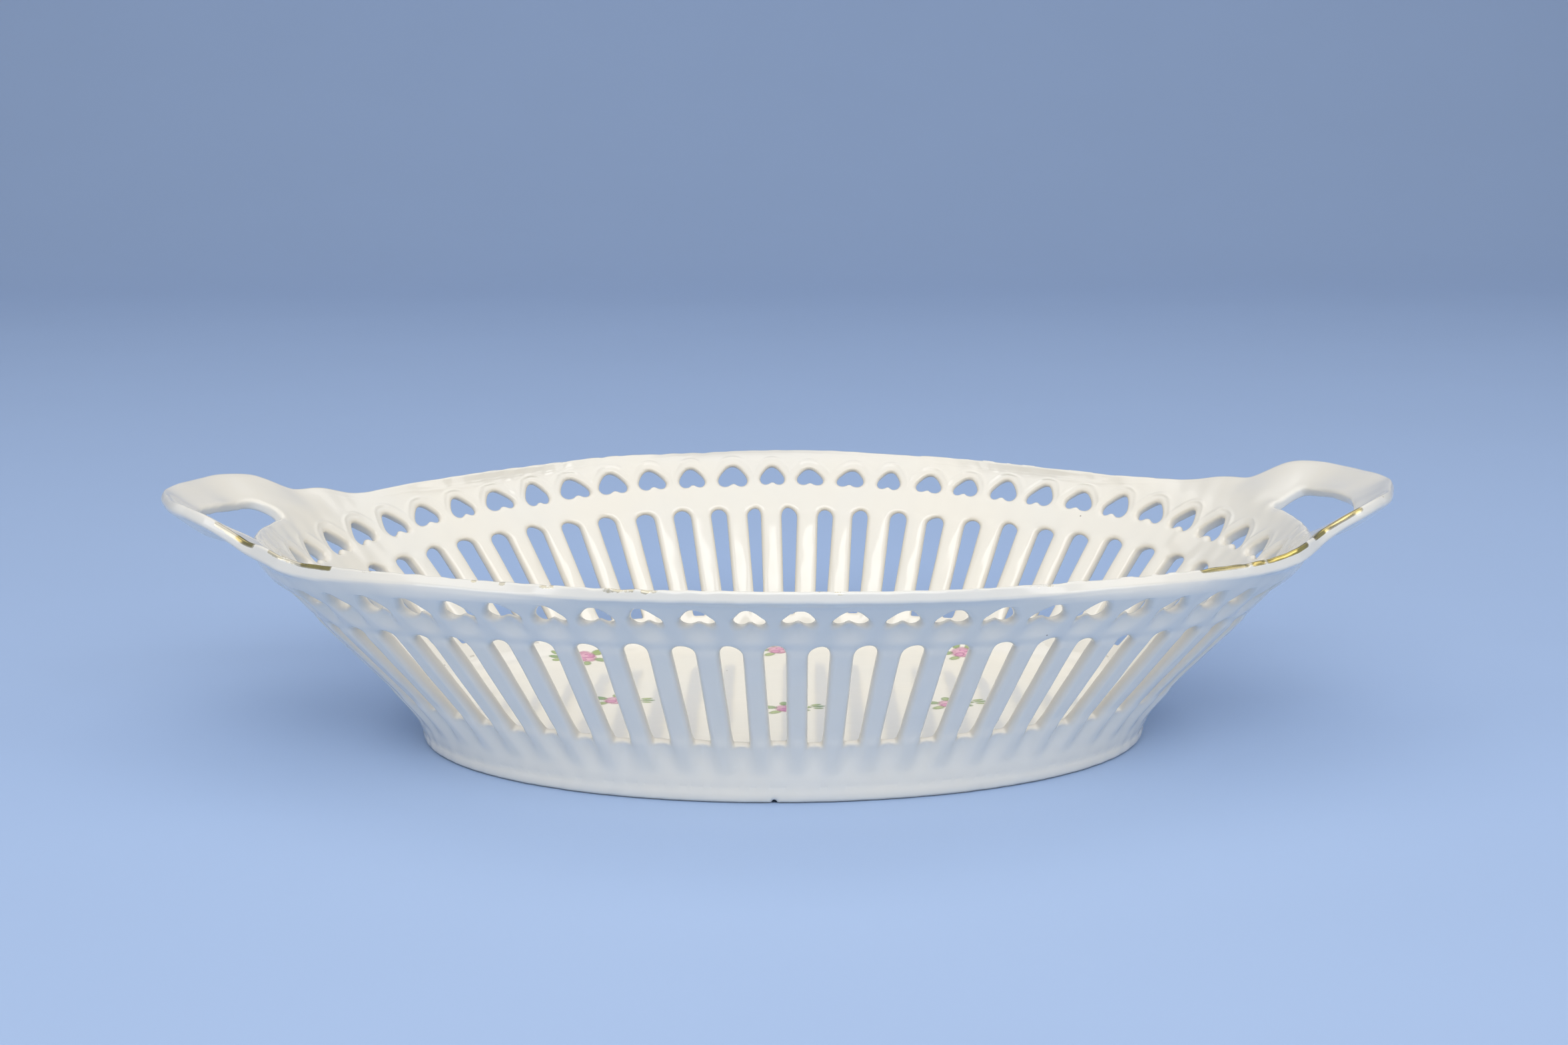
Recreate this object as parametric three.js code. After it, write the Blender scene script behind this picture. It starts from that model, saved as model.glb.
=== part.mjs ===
import * as THREE from "three";

// An oval pierced porcelain fruit bowl in millimetres. X runs along it, Y across it and Z up.
// Its foot stands on z = 0 with the middle of the oval at x = y = 0.
// The wall is one flared surface: at each level it is an oval, and levels are millimetres up the wall
// of the long side. Every piece of the wall is cut from that surface, so they all follow its sizes.

// Number of slots round the wall, and of hearts above them.
const openingCount = 58;
// Thicknesses.
const wallThickness = 3.6;
const handleThickness = 3.6;
// Parting line between neighbouring pieces.
const partingGap = 0.3;
// The same under the rim, where the two faces are bent most.
const rimGap = 0.5;

// Middle of the wall at the foot.
const footHalfLength = 91.8;
const footHalfWidth = 62.1;
const footHeight = 3.2;
// Middle of the wall where it starts to flare.
const waistHalfLength = 93.8;
const waistHalfWidth = 62.4;
const waistHeight = 8;
// Middle of the wall at the flat sills of the slots.
const sillHalfLength = 99;
const sillHalfWidth = 64.7;
const sillHeight = 15.1;
// Middle of the wall half way up the staves.
const staveHalfLength = 108.6;
const staveHalfWidth = 71.4;
const staveHeight = 28;
const staveDip = 2;
// Middle of the wall at the round heads of the slots.
const headHalfLength = 118.5;
const headHalfWidth = 79.8;
const headHeight = 42.3;
const headDip = 5;
// Middle of the wall at the hearts.
const heartHalfLength = 125;
const heartHalfWidth = 86;
const heartHeight = 50.3;
const heartDip = 5.8;
// Middle of the wall at its top, which is the free lip at the ends and lies under the rim at the sides.
const lipHalfLength = 133.5;
const lipHalfWidth = 92.3;
const lipHeight = 57.6;
const lipDip = 4.1;

// Slots: width at the sill and at the head, and how high the head rises above its springing.
const sillWidth = 3.7;
const headWidth = 5.2;
const headRise = 2.1;
// Hearts, point up: width, height of the arch above the middle, drop of the lobes and rise of the cusp.
const heartWidth = 7.8;
const heartArch = 3.4;
const heartDrop = 2.6;
const heartCusp = 1.5;
// How far the edges of the openings lie below the crowns of the staves, outside and inside.
const outerRelief = 0.6;
const innerRelief = 0.3;
// Plain wall kept below a sill, above a slot, below a heart and above a heart.
const sillMargin = 1.2;
const headMargin = 1.5;
const heartMargin = 1.6;
const sideMargin = 1;

// Foot ring and floor.
const footBevel = 1.5;
const floorThickness = 4;
const floorDish = 0.8;

// Outer edge of the rim along a side: how far out of the wall's top edge it stands and how far above it.
const sideOut = 4.2;
const sideUp = 2.6;
const shoulderOut = 3.2;
const shoulderUp = 2.7;
const haunchOut = 0.7;
const haunchUp = 3.3;
const flankOut = 2.3;
const flankUp = 3.5;
const neckOut = 5.4;
const neckUp = 4.1;
const rootOut = 11.2;
const rootUp = 7.3;
// Where those places lie, as shares of the quarter turn from the middle of a side to the tip.
const rimTurnShares = [0, 0.193, 0.392, 0.548, 0.646, 0.742];
// Outer edge of a handle: reach past the tip of the lip, inset from the root and lift above the tip.
const armReach = 6.2;
const armInset = 4;
const armLift = 8.2;
const bendReach = 11.3;
const bendInset = 8.4;
const bendLift = 9.5;
const cornerReach = 15.9;
const cornerInset = 15;
const cornerLift = 10;
const crossbarReach = 23.4;
const crossbarLift = 11.1;
// Inner edge of a handle, round the finger gap, in the same way.
const gapArmReach = 0.6;
const gapArmInset = 0.9;
const gapArmLift = 1.9;
const gapCornerReach = 9.3;
const gapCornerInset = 8;
const gapCornerLift = 3.9;
const gapBarReach = 14.6;
const gapBarLift = 5.1;

// Half the run of a side's rim, in openings, from the middle of the side to a handle's root.
const rimRunShare = 12;
// Length of wall, in openings, over which its top edge rises to the free lip beside a handle's root.
const lipRiseShare = 1.5;

// Rows of points up each band, as shares of its height.
const lowerRowShares = [0, 0.4, 0.75, 1];
const middleRowShares = [0, 0.5, 1];
const staveRowShares = [0, 0.05, 0.48, 0.91, 1];
const galleryRowShares = [0, 0.45, 1];
// Rings of points on the floor, as shares of its size.
const floorRingShares = [1, 0.6];
// Points up a slot's side, as shares from the sill to where the head springs.
const slotSideShares = [0, 0.5, 1];
// Points round a heart from beside the cusp: shares of half its width, and of its drop or its arch.
const lobeShares = [[0.32, -0.87], [0.72, -1], [1, -0.35]];
const archShares = [[0.88, 0.4], [0.48, 0.84], [0, 1]];
// Angles of the points round a slot's head and round the edge of the rim or a handle.
const headDegrees = [40, 90];
const edgeDegrees = [-90, -45, 0, 45, 90];
const steps = { oval: 720, handle: 26, search: 12 };

const porcelain = new THREE.MeshStandardMaterial({ color: 0xece8de, roughness: 0.12, metalness: 0 });
const shadedPorcelain = new THREE.MeshStandardMaterial({ color: 0xe6e2d9, roughness: 0.14, metalness: 0 });
const footPorcelain = new THREE.MeshStandardMaterial({ color: 0xdeddd8, roughness: 0.3, metalness: 0 });

// Stations of the wall: level up the side, half length, half width, height, and dip of the ends.
const stations = [
  [footHalfLength, footHalfWidth, footHeight, 0],
  [waistHalfLength, waistHalfWidth, waistHeight, 0],
  [sillHalfLength, sillHalfWidth, sillHeight, 0],
  [staveHalfLength, staveHalfWidth, staveHeight, staveDip],
  [headHalfLength, headHalfWidth, headHeight, headDip],
  [heartHalfLength, heartHalfWidth, heartHeight, heartDip],
  [lipHalfLength, lipHalfWidth, lipHeight, lipDip],
];
const levels = [0];
for (let i = 1; i < stations.length; i++) {
  const [, widthBelow, heightBelow] = stations[i - 1];
  const [, width, height] = stations[i];
  levels.push(levels[i - 1] + Math.hypot(width - widthBelow, height - heightBelow));
}
const [footLevel, , sillLevel, , headLevel, heartLevel, lipLevel] = levels;

// Smooth value of column c of the stations at a level, by cubic pieces through the stations.
function stationValue(level, c) {
  const last = levels.length - 1;
  let i = 0;
  while (i < last - 1 && level > levels[i + 1]) i++;
  const slope = (k) => {
    const below = Math.max(k - 1, 0);
    const above = Math.min(k + 1, last);
    return (stations[above][c] - stations[below][c]) / (levels[above] - levels[below]);
  };
  const run = levels[i + 1] - levels[i];
  const t = (level - levels[i]) / run;
  const t2 = t * t;
  const t3 = t2 * t;
  return (
    (2 * t3 - 3 * t2 + 1) * stations[i][c] +
    (t3 - 2 * t2 + t) * run * slope(i) +
    (3 * t2 - 2 * t3) * stations[i + 1][c] +
    (t3 - t2) * run * slope(i + 1)
  );
}

// The wall's oval at a level, with a table of the length run round it from the middle of the back.
const ovals = new Map();
function ovalAt(level) {
  if (ovals.has(level)) return ovals.get(level);
  const [halfLength, halfWidth, height, dip] = [0, 1, 2, 3].map((c) => stationValue(level, c));
  const runs = [0];
  const place = (i) => {
    const angle = (2 * Math.PI * i) / steps.oval;
    return [halfLength * Math.sin(angle), halfWidth * Math.cos(angle)];
  };
  for (let i = 1; i <= steps.oval; i++) {
    const [x0, y0] = place(i - 1);
    const [x1, y1] = place(i);
    runs.push(runs[i - 1] + Math.hypot(x1 - x0, y1 - y0));
  }
  const oval = { halfLength, halfWidth, height, dip, runs, around: runs[steps.oval] };
  ovals.set(level, oval);
  return oval;
}

// Point in the middle of the wall, a share of the way round from the middle of the back.
function middlePoint(share, level) {
  const oval = ovalAt(level);
  const run = (share - Math.floor(share)) * oval.around;
  let low = 0;
  let high = steps.oval;
  while (high - low > 1) {
    const half = (low + high) >> 1;
    if (oval.runs[half] <= run) low = half;
    else high = half;
  }
  const part = (run - oval.runs[low]) / (oval.runs[high] - oval.runs[low]);
  const angle = (2 * Math.PI * (low + part)) / steps.oval;
  const along = Math.sin(angle);
  const z = oval.height - oval.dip * along * along;
  return new THREE.Vector3(oval.halfLength * along, oval.halfWidth * Math.cos(angle), z);
}

// Point off the middle of the wall, out along its normal or in where offset is negative.
function wallPoint(share, level, offset) {
  const around = 0.25 / openingCount;
  const up = wallThickness / 16;
  const ahead = middlePoint(share + around, level).sub(middlePoint(share - around, level));
  const rise = middlePoint(share, level + up).sub(middlePoint(share, level - up));
  const normal = rise.cross(ahead).normalize();
  return middlePoint(share, level).addScaledVector(normal, offset);
}
const outside = wallThickness / 2;
const inside = -wallThickness / 2;
const pitchAt = (level) => ovalAt(level).around / openingCount;

// Level of the wall's top edge under the rim.
const sideLevel = heartLevel + heartArch + sideMargin;

// Level of the wall's top edge: low under the rim at the sides, up to the free lip at the ends.
function topLevel(share) {
  const quarter = openingCount / 4;
  const half = share * 2 - Math.floor(share * 2);
  const fromEnd = Math.abs(half - 0.5) * 2 * quarter;
  const t = Math.min(Math.max((fromEnd - quarter + rimRunShare) / lipRiseShare, 0), 1);
  const blend = t * t * (3 - 2 * t);
  return lipLevel + (sideLevel - lipLevel) * blend;
}

// Closed solid from corner points and polygons of them.
function solidOf(points, faces) {
  const geometry = new THREE.BufferGeometry();
  const position = new Float32Array(points.flatMap((p) => [p.x, p.y, p.z]));
  geometry.setAttribute("position", new THREE.BufferAttribute(position, 3));
  const index = [];
  for (const face of faces) {
    for (let i = 2; i < face.length; i++) index.push(face[0], face[i - 1], face[i]);
  }
  geometry.setIndex(index);
  geometry.computeVertexNormals();
  return geometry;
}

// Skin between sections of equal point counts: a ring when closed, otherwise capped at both ends.
function loftOf(sections, closed) {
  const count = sections[0].length;
  const faces = [];
  const last = closed ? sections.length : sections.length - 1;
  for (let s = 0; s < last; s++) {
    const next = (s + 1) % sections.length;
    for (let i = 0; i < count; i++) {
      const j = (i + 1) % count;
      faces.push([s * count + i, next * count + i, next * count + j, s * count + j]);
    }
  }
  if (!closed) {
    const end = (sections.length - 1) * count;
    faces.push(sections[0].map((_, i) => i));
    faces.push(sections[0].map((_, i) => end + count - 1 - i));
  }
  return solidOf(sections.flat(), faces);
}

function meshOf(name, geometry, material) {
  const mesh = new THREE.Mesh(geometry, material);
  mesh.name = name;
  return mesh;
}

// Section of a plain band of wall: up the outside, then down the inside.
// recess gives how far the outside is sunk at a level.
function bandSection(share, rows, recess) {
  const outer = rows.map((level) => wallPoint(share, level, outside - recess(share, level)));
  const inner = rows.map((level) => wallPoint(share, level, inside));
  return [...inner, ...outer.reverse()];
}

// Shares of the way round at the middle of each stave and of each slot.
const halfPitchShares = Array.from({ length: 2 * openingCount }, (_, i) => i / (2 * openingCount));
const pitchShares = Array.from({ length: openingCount }, (_, i) => i / openingCount);
const slotSide = (share) => 0.5 - 0.5 * Math.cos(2 * Math.PI * share * openingCount);

// Foot ring: the wall's own thickness, bevelled outside, flat underneath.
function footRing() {
  const topZ = footHeight - partingGap;
  const sections = pitchShares.map((share) => {
    const outer = wallPoint(share, footLevel, outside);
    const inner = wallPoint(share, footLevel, inside);
    const bevel = outer.clone().lerp(inner, footBevel / wallThickness);
    return [
      new THREE.Vector3(inner.x, inner.y, 0),
      new THREE.Vector3(inner.x, inner.y, topZ),
      new THREE.Vector3(outer.x, outer.y, topZ),
      new THREE.Vector3(outer.x, outer.y, footBevel),
      new THREE.Vector3(bevel.x, bevel.y, 0),
    ];
  });
  return meshOf("foot_ring", loftOf(sections, true), footPorcelain);
}

// Plain band over the foot, with the channel of each slot running out on it.
function lowerBand() {
  const top = sillLevel - sillMargin - partingGap / 2;
  const rows = lowerRowShares.map((part) => footLevel + part * (top - footLevel));
  const recess = (share, level) => outerRelief * slotSide(share) * Math.max(0, (2 * level) / top - 1);
  const sections = halfPitchShares.map((share) => {
    const section = bandSection(share, rows, recess);
    section[0].z = footHeight;
    section[section.length - 1].z = footHeight;
    return section;
  });
  return meshOf("lower_band", loftOf(sections, true), porcelain);
}

// Point at a height z beside the wall's inner face, a gap away from it.
function besideWall(share, z, gap) {
  let level = footLevel;
  for (let i = 0; i < steps.search; i++) level += (z - wallPoint(share, level, inside - gap).z) / 2;
  return wallPoint(share, level, inside - gap);
}

// Oval floor set inside the lower band, dished a little towards the middle.
function floorPlate() {
  const underZ = footHeight + partingGap;
  const topZ = underZ + floorThickness;
  const points = [new THREE.Vector3(0, 0, underZ)];
  const ring = (z, part) => {
    for (const share of pitchShares) {
      const rim = besideWall(share, z, partingGap);
      points.push(new THREE.Vector3(rim.x * part, rim.y * part, z - floorDish * (1 - part * part)));
    }
  };
  ring(underZ, 1);
  for (const part of floorRingShares) ring(topZ, part);
  const top = points.push(new THREE.Vector3(0, 0, topZ - floorDish)) - 1;
  const faces = [];
  for (let i = 0; i < openingCount; i++) {
    const [under, edge, inner] = [0, 1, 2].map((r) => 1 + r * openingCount + i);
    const j = (i + 1) % openingCount;
    const [underNext, edgeNext, innerNext] = [0, 1, 2].map((r) => 1 + r * openingCount + j);
    faces.push([0, under, underNext], [under, edge, edgeNext, underNext]);
    faces.push([edge, inner, innerNext, edgeNext], [inner, top, innerNext]);
  }
  return meshOf("floor_plate", solidOf(points, faces), porcelain);
}

// Plain band between the slots and the hearts, sunk over each slot and under each heart.
function middleBand() {
  const bottom = headLevel + headMargin + partingGap / 2;
  const top = heartLevel - heartDrop - heartMargin - partingGap / 2;
  const recess = (share, level) => {
    const fromMiddle = (2 * (level - bottom)) / (top - bottom) - 1;
    const sunk = fromMiddle < 0 ? -fromMiddle * slotSide(share) : fromMiddle * (1 - slotSide(share));
    return outerRelief * sunk;
  };
  const rows = middleRowShares.map((part) => bottom + part * (top - bottom));
  const sections = halfPitchShares.map((share) => bandSection(share, rows, recess));
  return meshOf("middle_band", loftOf(sections, true), porcelain);
}

// Half outline of a slot, from its sill up to its head: [millimetres from the middle, level].
function slotOutline() {
  const springing = headLevel - headRise;
  const side = slotSideShares.map((part) => [
    (sillWidth + part * (headWidth - sillWidth)) / 2,
    sillLevel + part * (springing - sillLevel),
  ]);
  const head = headDegrees.map((degrees) => {
    const angle = THREE.MathUtils.degToRad(degrees);
    return [degrees < 90 ? (headWidth / 2) * Math.cos(angle) : 0, springing + headRise * Math.sin(angle)];
  });
  return [...side, ...head];
}

// Half outline of a heart, from its cusp round a lobe and up to its point.
function heartOutline() {
  const half = heartWidth / 2;
  const lobe = lobeShares.map(([across, down]) => [half * across, heartLevel + heartDrop * down]);
  const arch = archShares.map(([across, up]) => [half * across, heartLevel + heartArch * up]);
  return [[0, heartLevel + heartCusp - heartDrop], ...lobe, ...arch];
}

// Triangles of the strip between two lines of [corner, level], both running up.
function stripBetween(near, far) {
  const triangles = [];
  let i = 0;
  let j = 0;
  while (i < near.length - 1 || j < far.length - 1) {
    const nearFirst = j === far.length - 1 || (i < near.length - 1 && near[i + 1][1] <= far[j + 1][1]);
    if (nearFirst) triangles.push([near[i][0], near[i + 1][0], far[j][0]]);
    else triangles.push([near[i][0], far[j + 1][0], far[j][0]]);
    if (nearFirst) i++;
    else j++;
  }
  return triangles;
}

// One band of wall pierced by the same opening once in each pitch.
// The openings are set off by a share of a pitch, and posts of whole wall stand between them.
function piercedBand(halfOutline, rowShares, bottomAt, topAt, offsetShare) {
  const points = [];
  const faces = [];
  const addPair = (share, level, sunkOutside, sunkInside) => {
    points.push(wallPoint(share, level, outside - sunkOutside));
    points.push(wallPoint(share, level, inside + sunkInside));
    return [points.length - 2, level];
  };
  const posts = [];
  for (let cell = 0; cell < openingCount; cell++) {
    const share = (cell + offsetShare - 0.5) / openingCount;
    const rise = topAt(share) - bottomAt(share);
    posts.push(rowShares.map((part) => addPair(share, bottomAt(share) + part * rise, 0, 0)));
  }
  const low = halfOutline.reduce((best, [, level], i) => (level < halfOutline[best][1] ? i : best), 0);
  for (let cell = 0; cell < openingCount; cell++) {
    const share = (cell + offsetShare) / openingCount;
    const bottom = addPair(share, bottomAt(share), 0, 0);
    const top = addPair(share, topAt(share), 0, 0);
    const sides = [1, -1].map((sign) =>
      halfOutline.map(([x, level], i) => {
        const place = share + (sign * x) / pitchAt(level) / openingCount;
        return x === 0 && sign < 0 ? i : addPair(place, level, outerRelief, innerRelief);
      }),
    );
    // A point on the middle line belongs to both halves.
    sides[1] = sides[1].map((pair, i) => (typeof pair === "number" ? sides[0][i] : pair));
    const outer = [];
    [1, -1].forEach((sign, s) => {
      const side = sides[s];
      const post = posts[(cell + (sign > 0 ? 1 : 0)) % openingCount];
      const half = stripBetween([bottom, ...side.slice(low), top], post);
      for (let i = 0; i < low; i++) half.push([bottom[0], side[i][0], side[i + 1][0]]);
      for (let i = 0; i < side.length - 1; i++) {
        const wall = [side[i][0], side[i][0] + 1, side[i + 1][0] + 1, side[i + 1][0]];
        faces.push(sign > 0 ? wall : wall.reverse());
      }
      outer.push(...half.map((triangle) => (sign > 0 ? triangle : triangle.reverse())));
      const edges = [
        [bottom, post[0]],
        [post[post.length - 1], top],
      ];
      for (const [from, to] of edges) {
        const edge = [from[0], to[0], to[0] + 1, from[0] + 1];
        faces.push(sign > 0 ? edge : edge.reverse());
      }
    });
    if (sides[0][0] !== sides[1][0]) {
      const [right, left] = [sides[0][0][0], sides[1][0][0]];
      outer.push([bottom[0], left, right]);
      faces.push([left, left + 1, right + 1, right]);
    }
    for (const triangle of outer) faces.push(triangle, [...triangle].reverse().map((i) => i + 1));
  }
  return solidOf(points, faces);
}

// The staves with the slots between them.
function slottedWall() {
  const bottom = sillLevel - sillMargin + partingGap / 2;
  const top = headLevel + headMargin - partingGap / 2;
  const geometry = piercedBand(slotOutline(), staveRowShares, () => bottom, () => top, 0.5);
  return meshOf("slotted_wall", geometry, shadedPorcelain);
}

// The row of hearts, one over each stave, with the plain lip above them.
function heartGallery() {
  const bottom = heartLevel - heartDrop - heartMargin + partingGap / 2;
  const geometry = piercedBand(heartOutline(), galleryRowShares, () => bottom, topLevel, 0);
  return meshOf("heart_gallery", geometry, porcelain);
}

// Round edge of a strip: points about its rim line, from one face over the edge to the other.
function roundEdge(edge, across, normal, radius) {
  const centre = edge.clone().addScaledVector(across, -radius);
  return edgeDegrees.map((degrees) => {
    const angle = THREE.MathUtils.degToRad(degrees);
    return centre
      .clone()
      .addScaledVector(across, radius * Math.cos(angle))
      .addScaledVector(normal, radius * Math.sin(angle));
  });
}

// Directions across a strip and square to its face, which looks up.
function stripFrame(inner, outer, ahead) {
  const across = outer.clone().sub(inner).normalize();
  const normal = ahead.clone().cross(across).normalize();
  if (normal.z < 0) normal.negate();
  return { across, normal };
}

const flipped = (point, signX, signY) => new THREE.Vector3(point.x * signX, point.y * signY, point.z);

// Outer edge of the rim along the back, from the root of one handle to the root of the other.
function rimCurve() {
  const outs = [sideOut, shoulderOut, haunchOut, flankOut, neckOut, rootOut];
  const ups = [sideUp, shoulderUp, haunchUp, flankUp, neckUp, rootUp];
  const { halfLength, halfWidth, height, dip } = ovalAt(sideLevel + rimGap);
  const half = rimTurnShares.map((turn, i) => {
    const angle = (turn * Math.PI) / 2;
    const onWall = new THREE.Vector2(halfLength * Math.sin(angle), halfWidth * Math.cos(angle));
    const out = onWall.clone().normalize().multiplyScalar(outs[i]).add(onWall);
    return new THREE.Vector3(out.x, out.y, height - dip * Math.sin(angle) ** 2 + ups[i]);
  });
  const left = half.slice(1).map((p) => flipped(p, -1, 1));
  return new THREE.CatmullRomCurve3([...left.reverse(), ...half]);
}

// Where the back rim ends and the right handle starts: both edges, and the way on into the handle.
function handleRoot() {
  const share = rimRunShare / openingCount;
  const curve = rimCurve();
  return {
    inner: wallPoint(share, topLevel(share) + rimGap, 0),
    outer: curve.getPointAt(1),
    ahead: curve.getTangentAt(1),
  };
}

// Flatten an end section on its own plane and move it half a parting gap along the strip.
function squareOff(section, outer, across, normal, way) {
  const along = across.clone().cross(normal);
  if (along.x < 0) along.negate();
  for (const point of section) {
    const off = point.clone().sub(outer).dot(along);
    point.addScaledVector(along, (way * partingGap) / 2 - off);
  }
}

// Rim along one long side, standing on the heart gallery and ending square before each handle.
function sideRim(name, signY) {
  const curve = rimCurve();
  const count = 4 * rimRunShare;
  const sections = [];
  for (let i = 0; i <= count; i++) {
    const part = i / count;
    const share = ((2 * part - 1) * rimRunShare) / openingCount;
    const level = topLevel(share) + rimGap;
    const [lower, inner, upper] = [outside, 0, inside].map((offset) => wallPoint(share, level, offset));
    const outer = curve.getPointAt(part);
    const { across, normal } = stripFrame(inner, outer, curve.getTangentAt(part));
    const section = [...roundEdge(outer, across, normal, wallThickness / 2), upper, lower];
    if (i === 0 || i === count) squareOff(section, outer, across, normal, i === 0 ? 1 : -1);
    sections.push(section.map((p) => flipped(p, 1, signY)));
  }
  if (signY > 0) sections.reverse();
  return meshOf(name, loftOf(sections, false), porcelain);
}

// Strap handle: an open loop from the rim's root at the back round to the one at the front.
function handle(name, signX) {
  const root = handleRoot();
  const tipHeight = lipHeight - lipDip;
  const place = (start, reach, inset, lift) =>
    new THREE.Vector3(lipHalfLength + reach, start.y - inset, tipHeight + lift);
  const outerHalf = [
    root.outer,
    place(root.outer, armReach, armInset, armLift),
    place(root.outer, bendReach, bendInset, bendLift),
    place(root.outer, cornerReach, cornerInset, cornerLift),
  ];
  const innerHalf = [
    root.inner,
    place(root.inner, gapArmReach, gapArmInset, gapArmLift),
    place(root.inner, gapCornerReach, gapCornerInset, gapCornerLift),
  ];
  const loop = (half, reach, lift) => {
    const middle = new THREE.Vector3(lipHalfLength + reach, 0, tipHeight + lift);
    const otherHalf = [...half].reverse().map((p) => flipped(p, 1, -1));
    return new THREE.CatmullRomCurve3([...half, middle, ...otherHalf]);
  };
  const outerCurve = loop(outerHalf, crossbarReach, crossbarLift);
  const innerCurve = loop(innerHalf, gapBarReach, gapBarLift);
  const radius = handleThickness / 2;
  const sections = [];
  for (let i = 0; i <= steps.handle; i++) {
    const part = i / steps.handle;
    const inner = innerCurve.getPointAt(part);
    const outer = outerCurve.getPointAt(part);
    // Both ends lie square to the ends of the rims.
    const atBack = i === 0;
    const atFront = i === steps.handle;
    const rootAhead = flipped(root.ahead, 1, atFront ? -1 : 1);
    const ahead = atBack || atFront ? rootAhead : outerCurve.getTangentAt(part);
    const { across, normal } = stripFrame(inner, outer, ahead);
    const section = [
      ...roundEdge(outer, across, normal, radius),
      ...roundEdge(inner, across.clone().negate(), normal.clone().negate(), radius),
    ];
    if (atBack || atFront) squareOff(section, outer, across, normal, 1);
    sections.push(section.map((p) => flipped(p, signX, 1)));
  }
  if (signX > 0) sections.reverse();
  return meshOf(name, loftOf(sections, false), porcelain);
}

const bowl = new THREE.Group();
bowl.name = "pierced_fruit_bowl";
bowl.add(
  footRing(),
  floorPlate(),
  lowerBand(),
  slottedWall(),
  middleBand(),
  heartGallery(),
  sideRim("rim_back", 1),
  sideRim("rim_front", -1),
  handle("handle_right", 1),
  handle("handle_left", -1),
);
export default bowl;
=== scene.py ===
import math

import bpy
import numpy as np
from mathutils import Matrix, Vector


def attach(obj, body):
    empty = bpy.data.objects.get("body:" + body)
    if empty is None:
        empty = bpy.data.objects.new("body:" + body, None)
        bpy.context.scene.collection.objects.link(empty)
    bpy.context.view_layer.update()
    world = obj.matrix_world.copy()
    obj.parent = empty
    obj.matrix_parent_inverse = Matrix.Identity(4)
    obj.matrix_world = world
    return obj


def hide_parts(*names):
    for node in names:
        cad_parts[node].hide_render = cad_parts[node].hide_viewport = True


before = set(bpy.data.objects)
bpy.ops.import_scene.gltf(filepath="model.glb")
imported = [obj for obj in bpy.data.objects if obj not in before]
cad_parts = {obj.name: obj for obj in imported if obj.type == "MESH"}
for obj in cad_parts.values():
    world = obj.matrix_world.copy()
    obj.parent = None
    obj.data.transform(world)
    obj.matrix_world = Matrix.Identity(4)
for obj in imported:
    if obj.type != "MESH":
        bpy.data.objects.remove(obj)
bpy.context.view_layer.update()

millimetre = 0.001
print("frame loaded:", ", ".join(sorted(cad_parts)))


# Smooth mesh in millimetres as an object in the scene, with values painted on its points.
def addMesh(name, vertices, faces, finish, paint=None):
    mesh = bpy.data.meshes.new(name)
    mesh.from_pydata((np.asarray(vertices) * millimetre).tolist(), [], faces)
    mesh.polygons.foreach_set("use_smooth", np.ones(len(mesh.polygons), bool))
    mesh.update()
    for label, values in (paint or {}).items():
        mesh.attributes.new(label, "FLOAT", "POINT").data.foreach_set("value", values)
    mesh.materials.append(finish)
    piece = bpy.data.objects.new(name, mesh)
    bpy.context.scene.collection.objects.link(piece)
    return piece


# Faces between closed rings of so many points each, numbered one ring after another.
def ringFaces(rings, count, first=0):
    faces = []
    for near in range(first, first + (rings - 1) * count, count):
        for c in range(count):
            d = (c + 1) % count
            faces.append((near + c, near + count + c, near + count + d, near + d))
    return faces


# camera, as the photograph was taken
cameraSetup = {
    "focalPixels": 3602,
    "imageWidth": 2353,
    "sensorWidth": 36,
    "target": (-0.09, 0, 54.55),
    "distance": 613.2,
    "elevation": 11.385,
    "yaw": -2.185,
}


def makeCamera(setup):
    elevation, yaw = math.radians(setup["elevation"]), math.radians(setup["yaw"])
    back = Vector((
        math.sin(yaw) * math.cos(elevation),
        -math.cos(yaw) * math.cos(elevation),
        math.sin(elevation),
    ))
    data = bpy.data.cameras.new("photographCamera")
    data.sensor_width = setup["sensorWidth"]
    data.lens = setup["focalPixels"] * setup["sensorWidth"] / setup["imageWidth"]
    data.clip_start, data.clip_end = 0.01, 50
    camera = bpy.data.objects.new("photographCamera", data)
    camera.location = (Vector(setup["target"]) + back * setup["distance"]) * millimetre
    camera.rotation_mode = "QUATERNION"
    camera.rotation_quaternion = (-back).to_track_quat("-Z", "Y")
    bpy.context.scene.collection.objects.link(camera)
    bpy.context.scene.camera = camera


makeCamera(cameraSetup)
print("camera placed")


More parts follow.
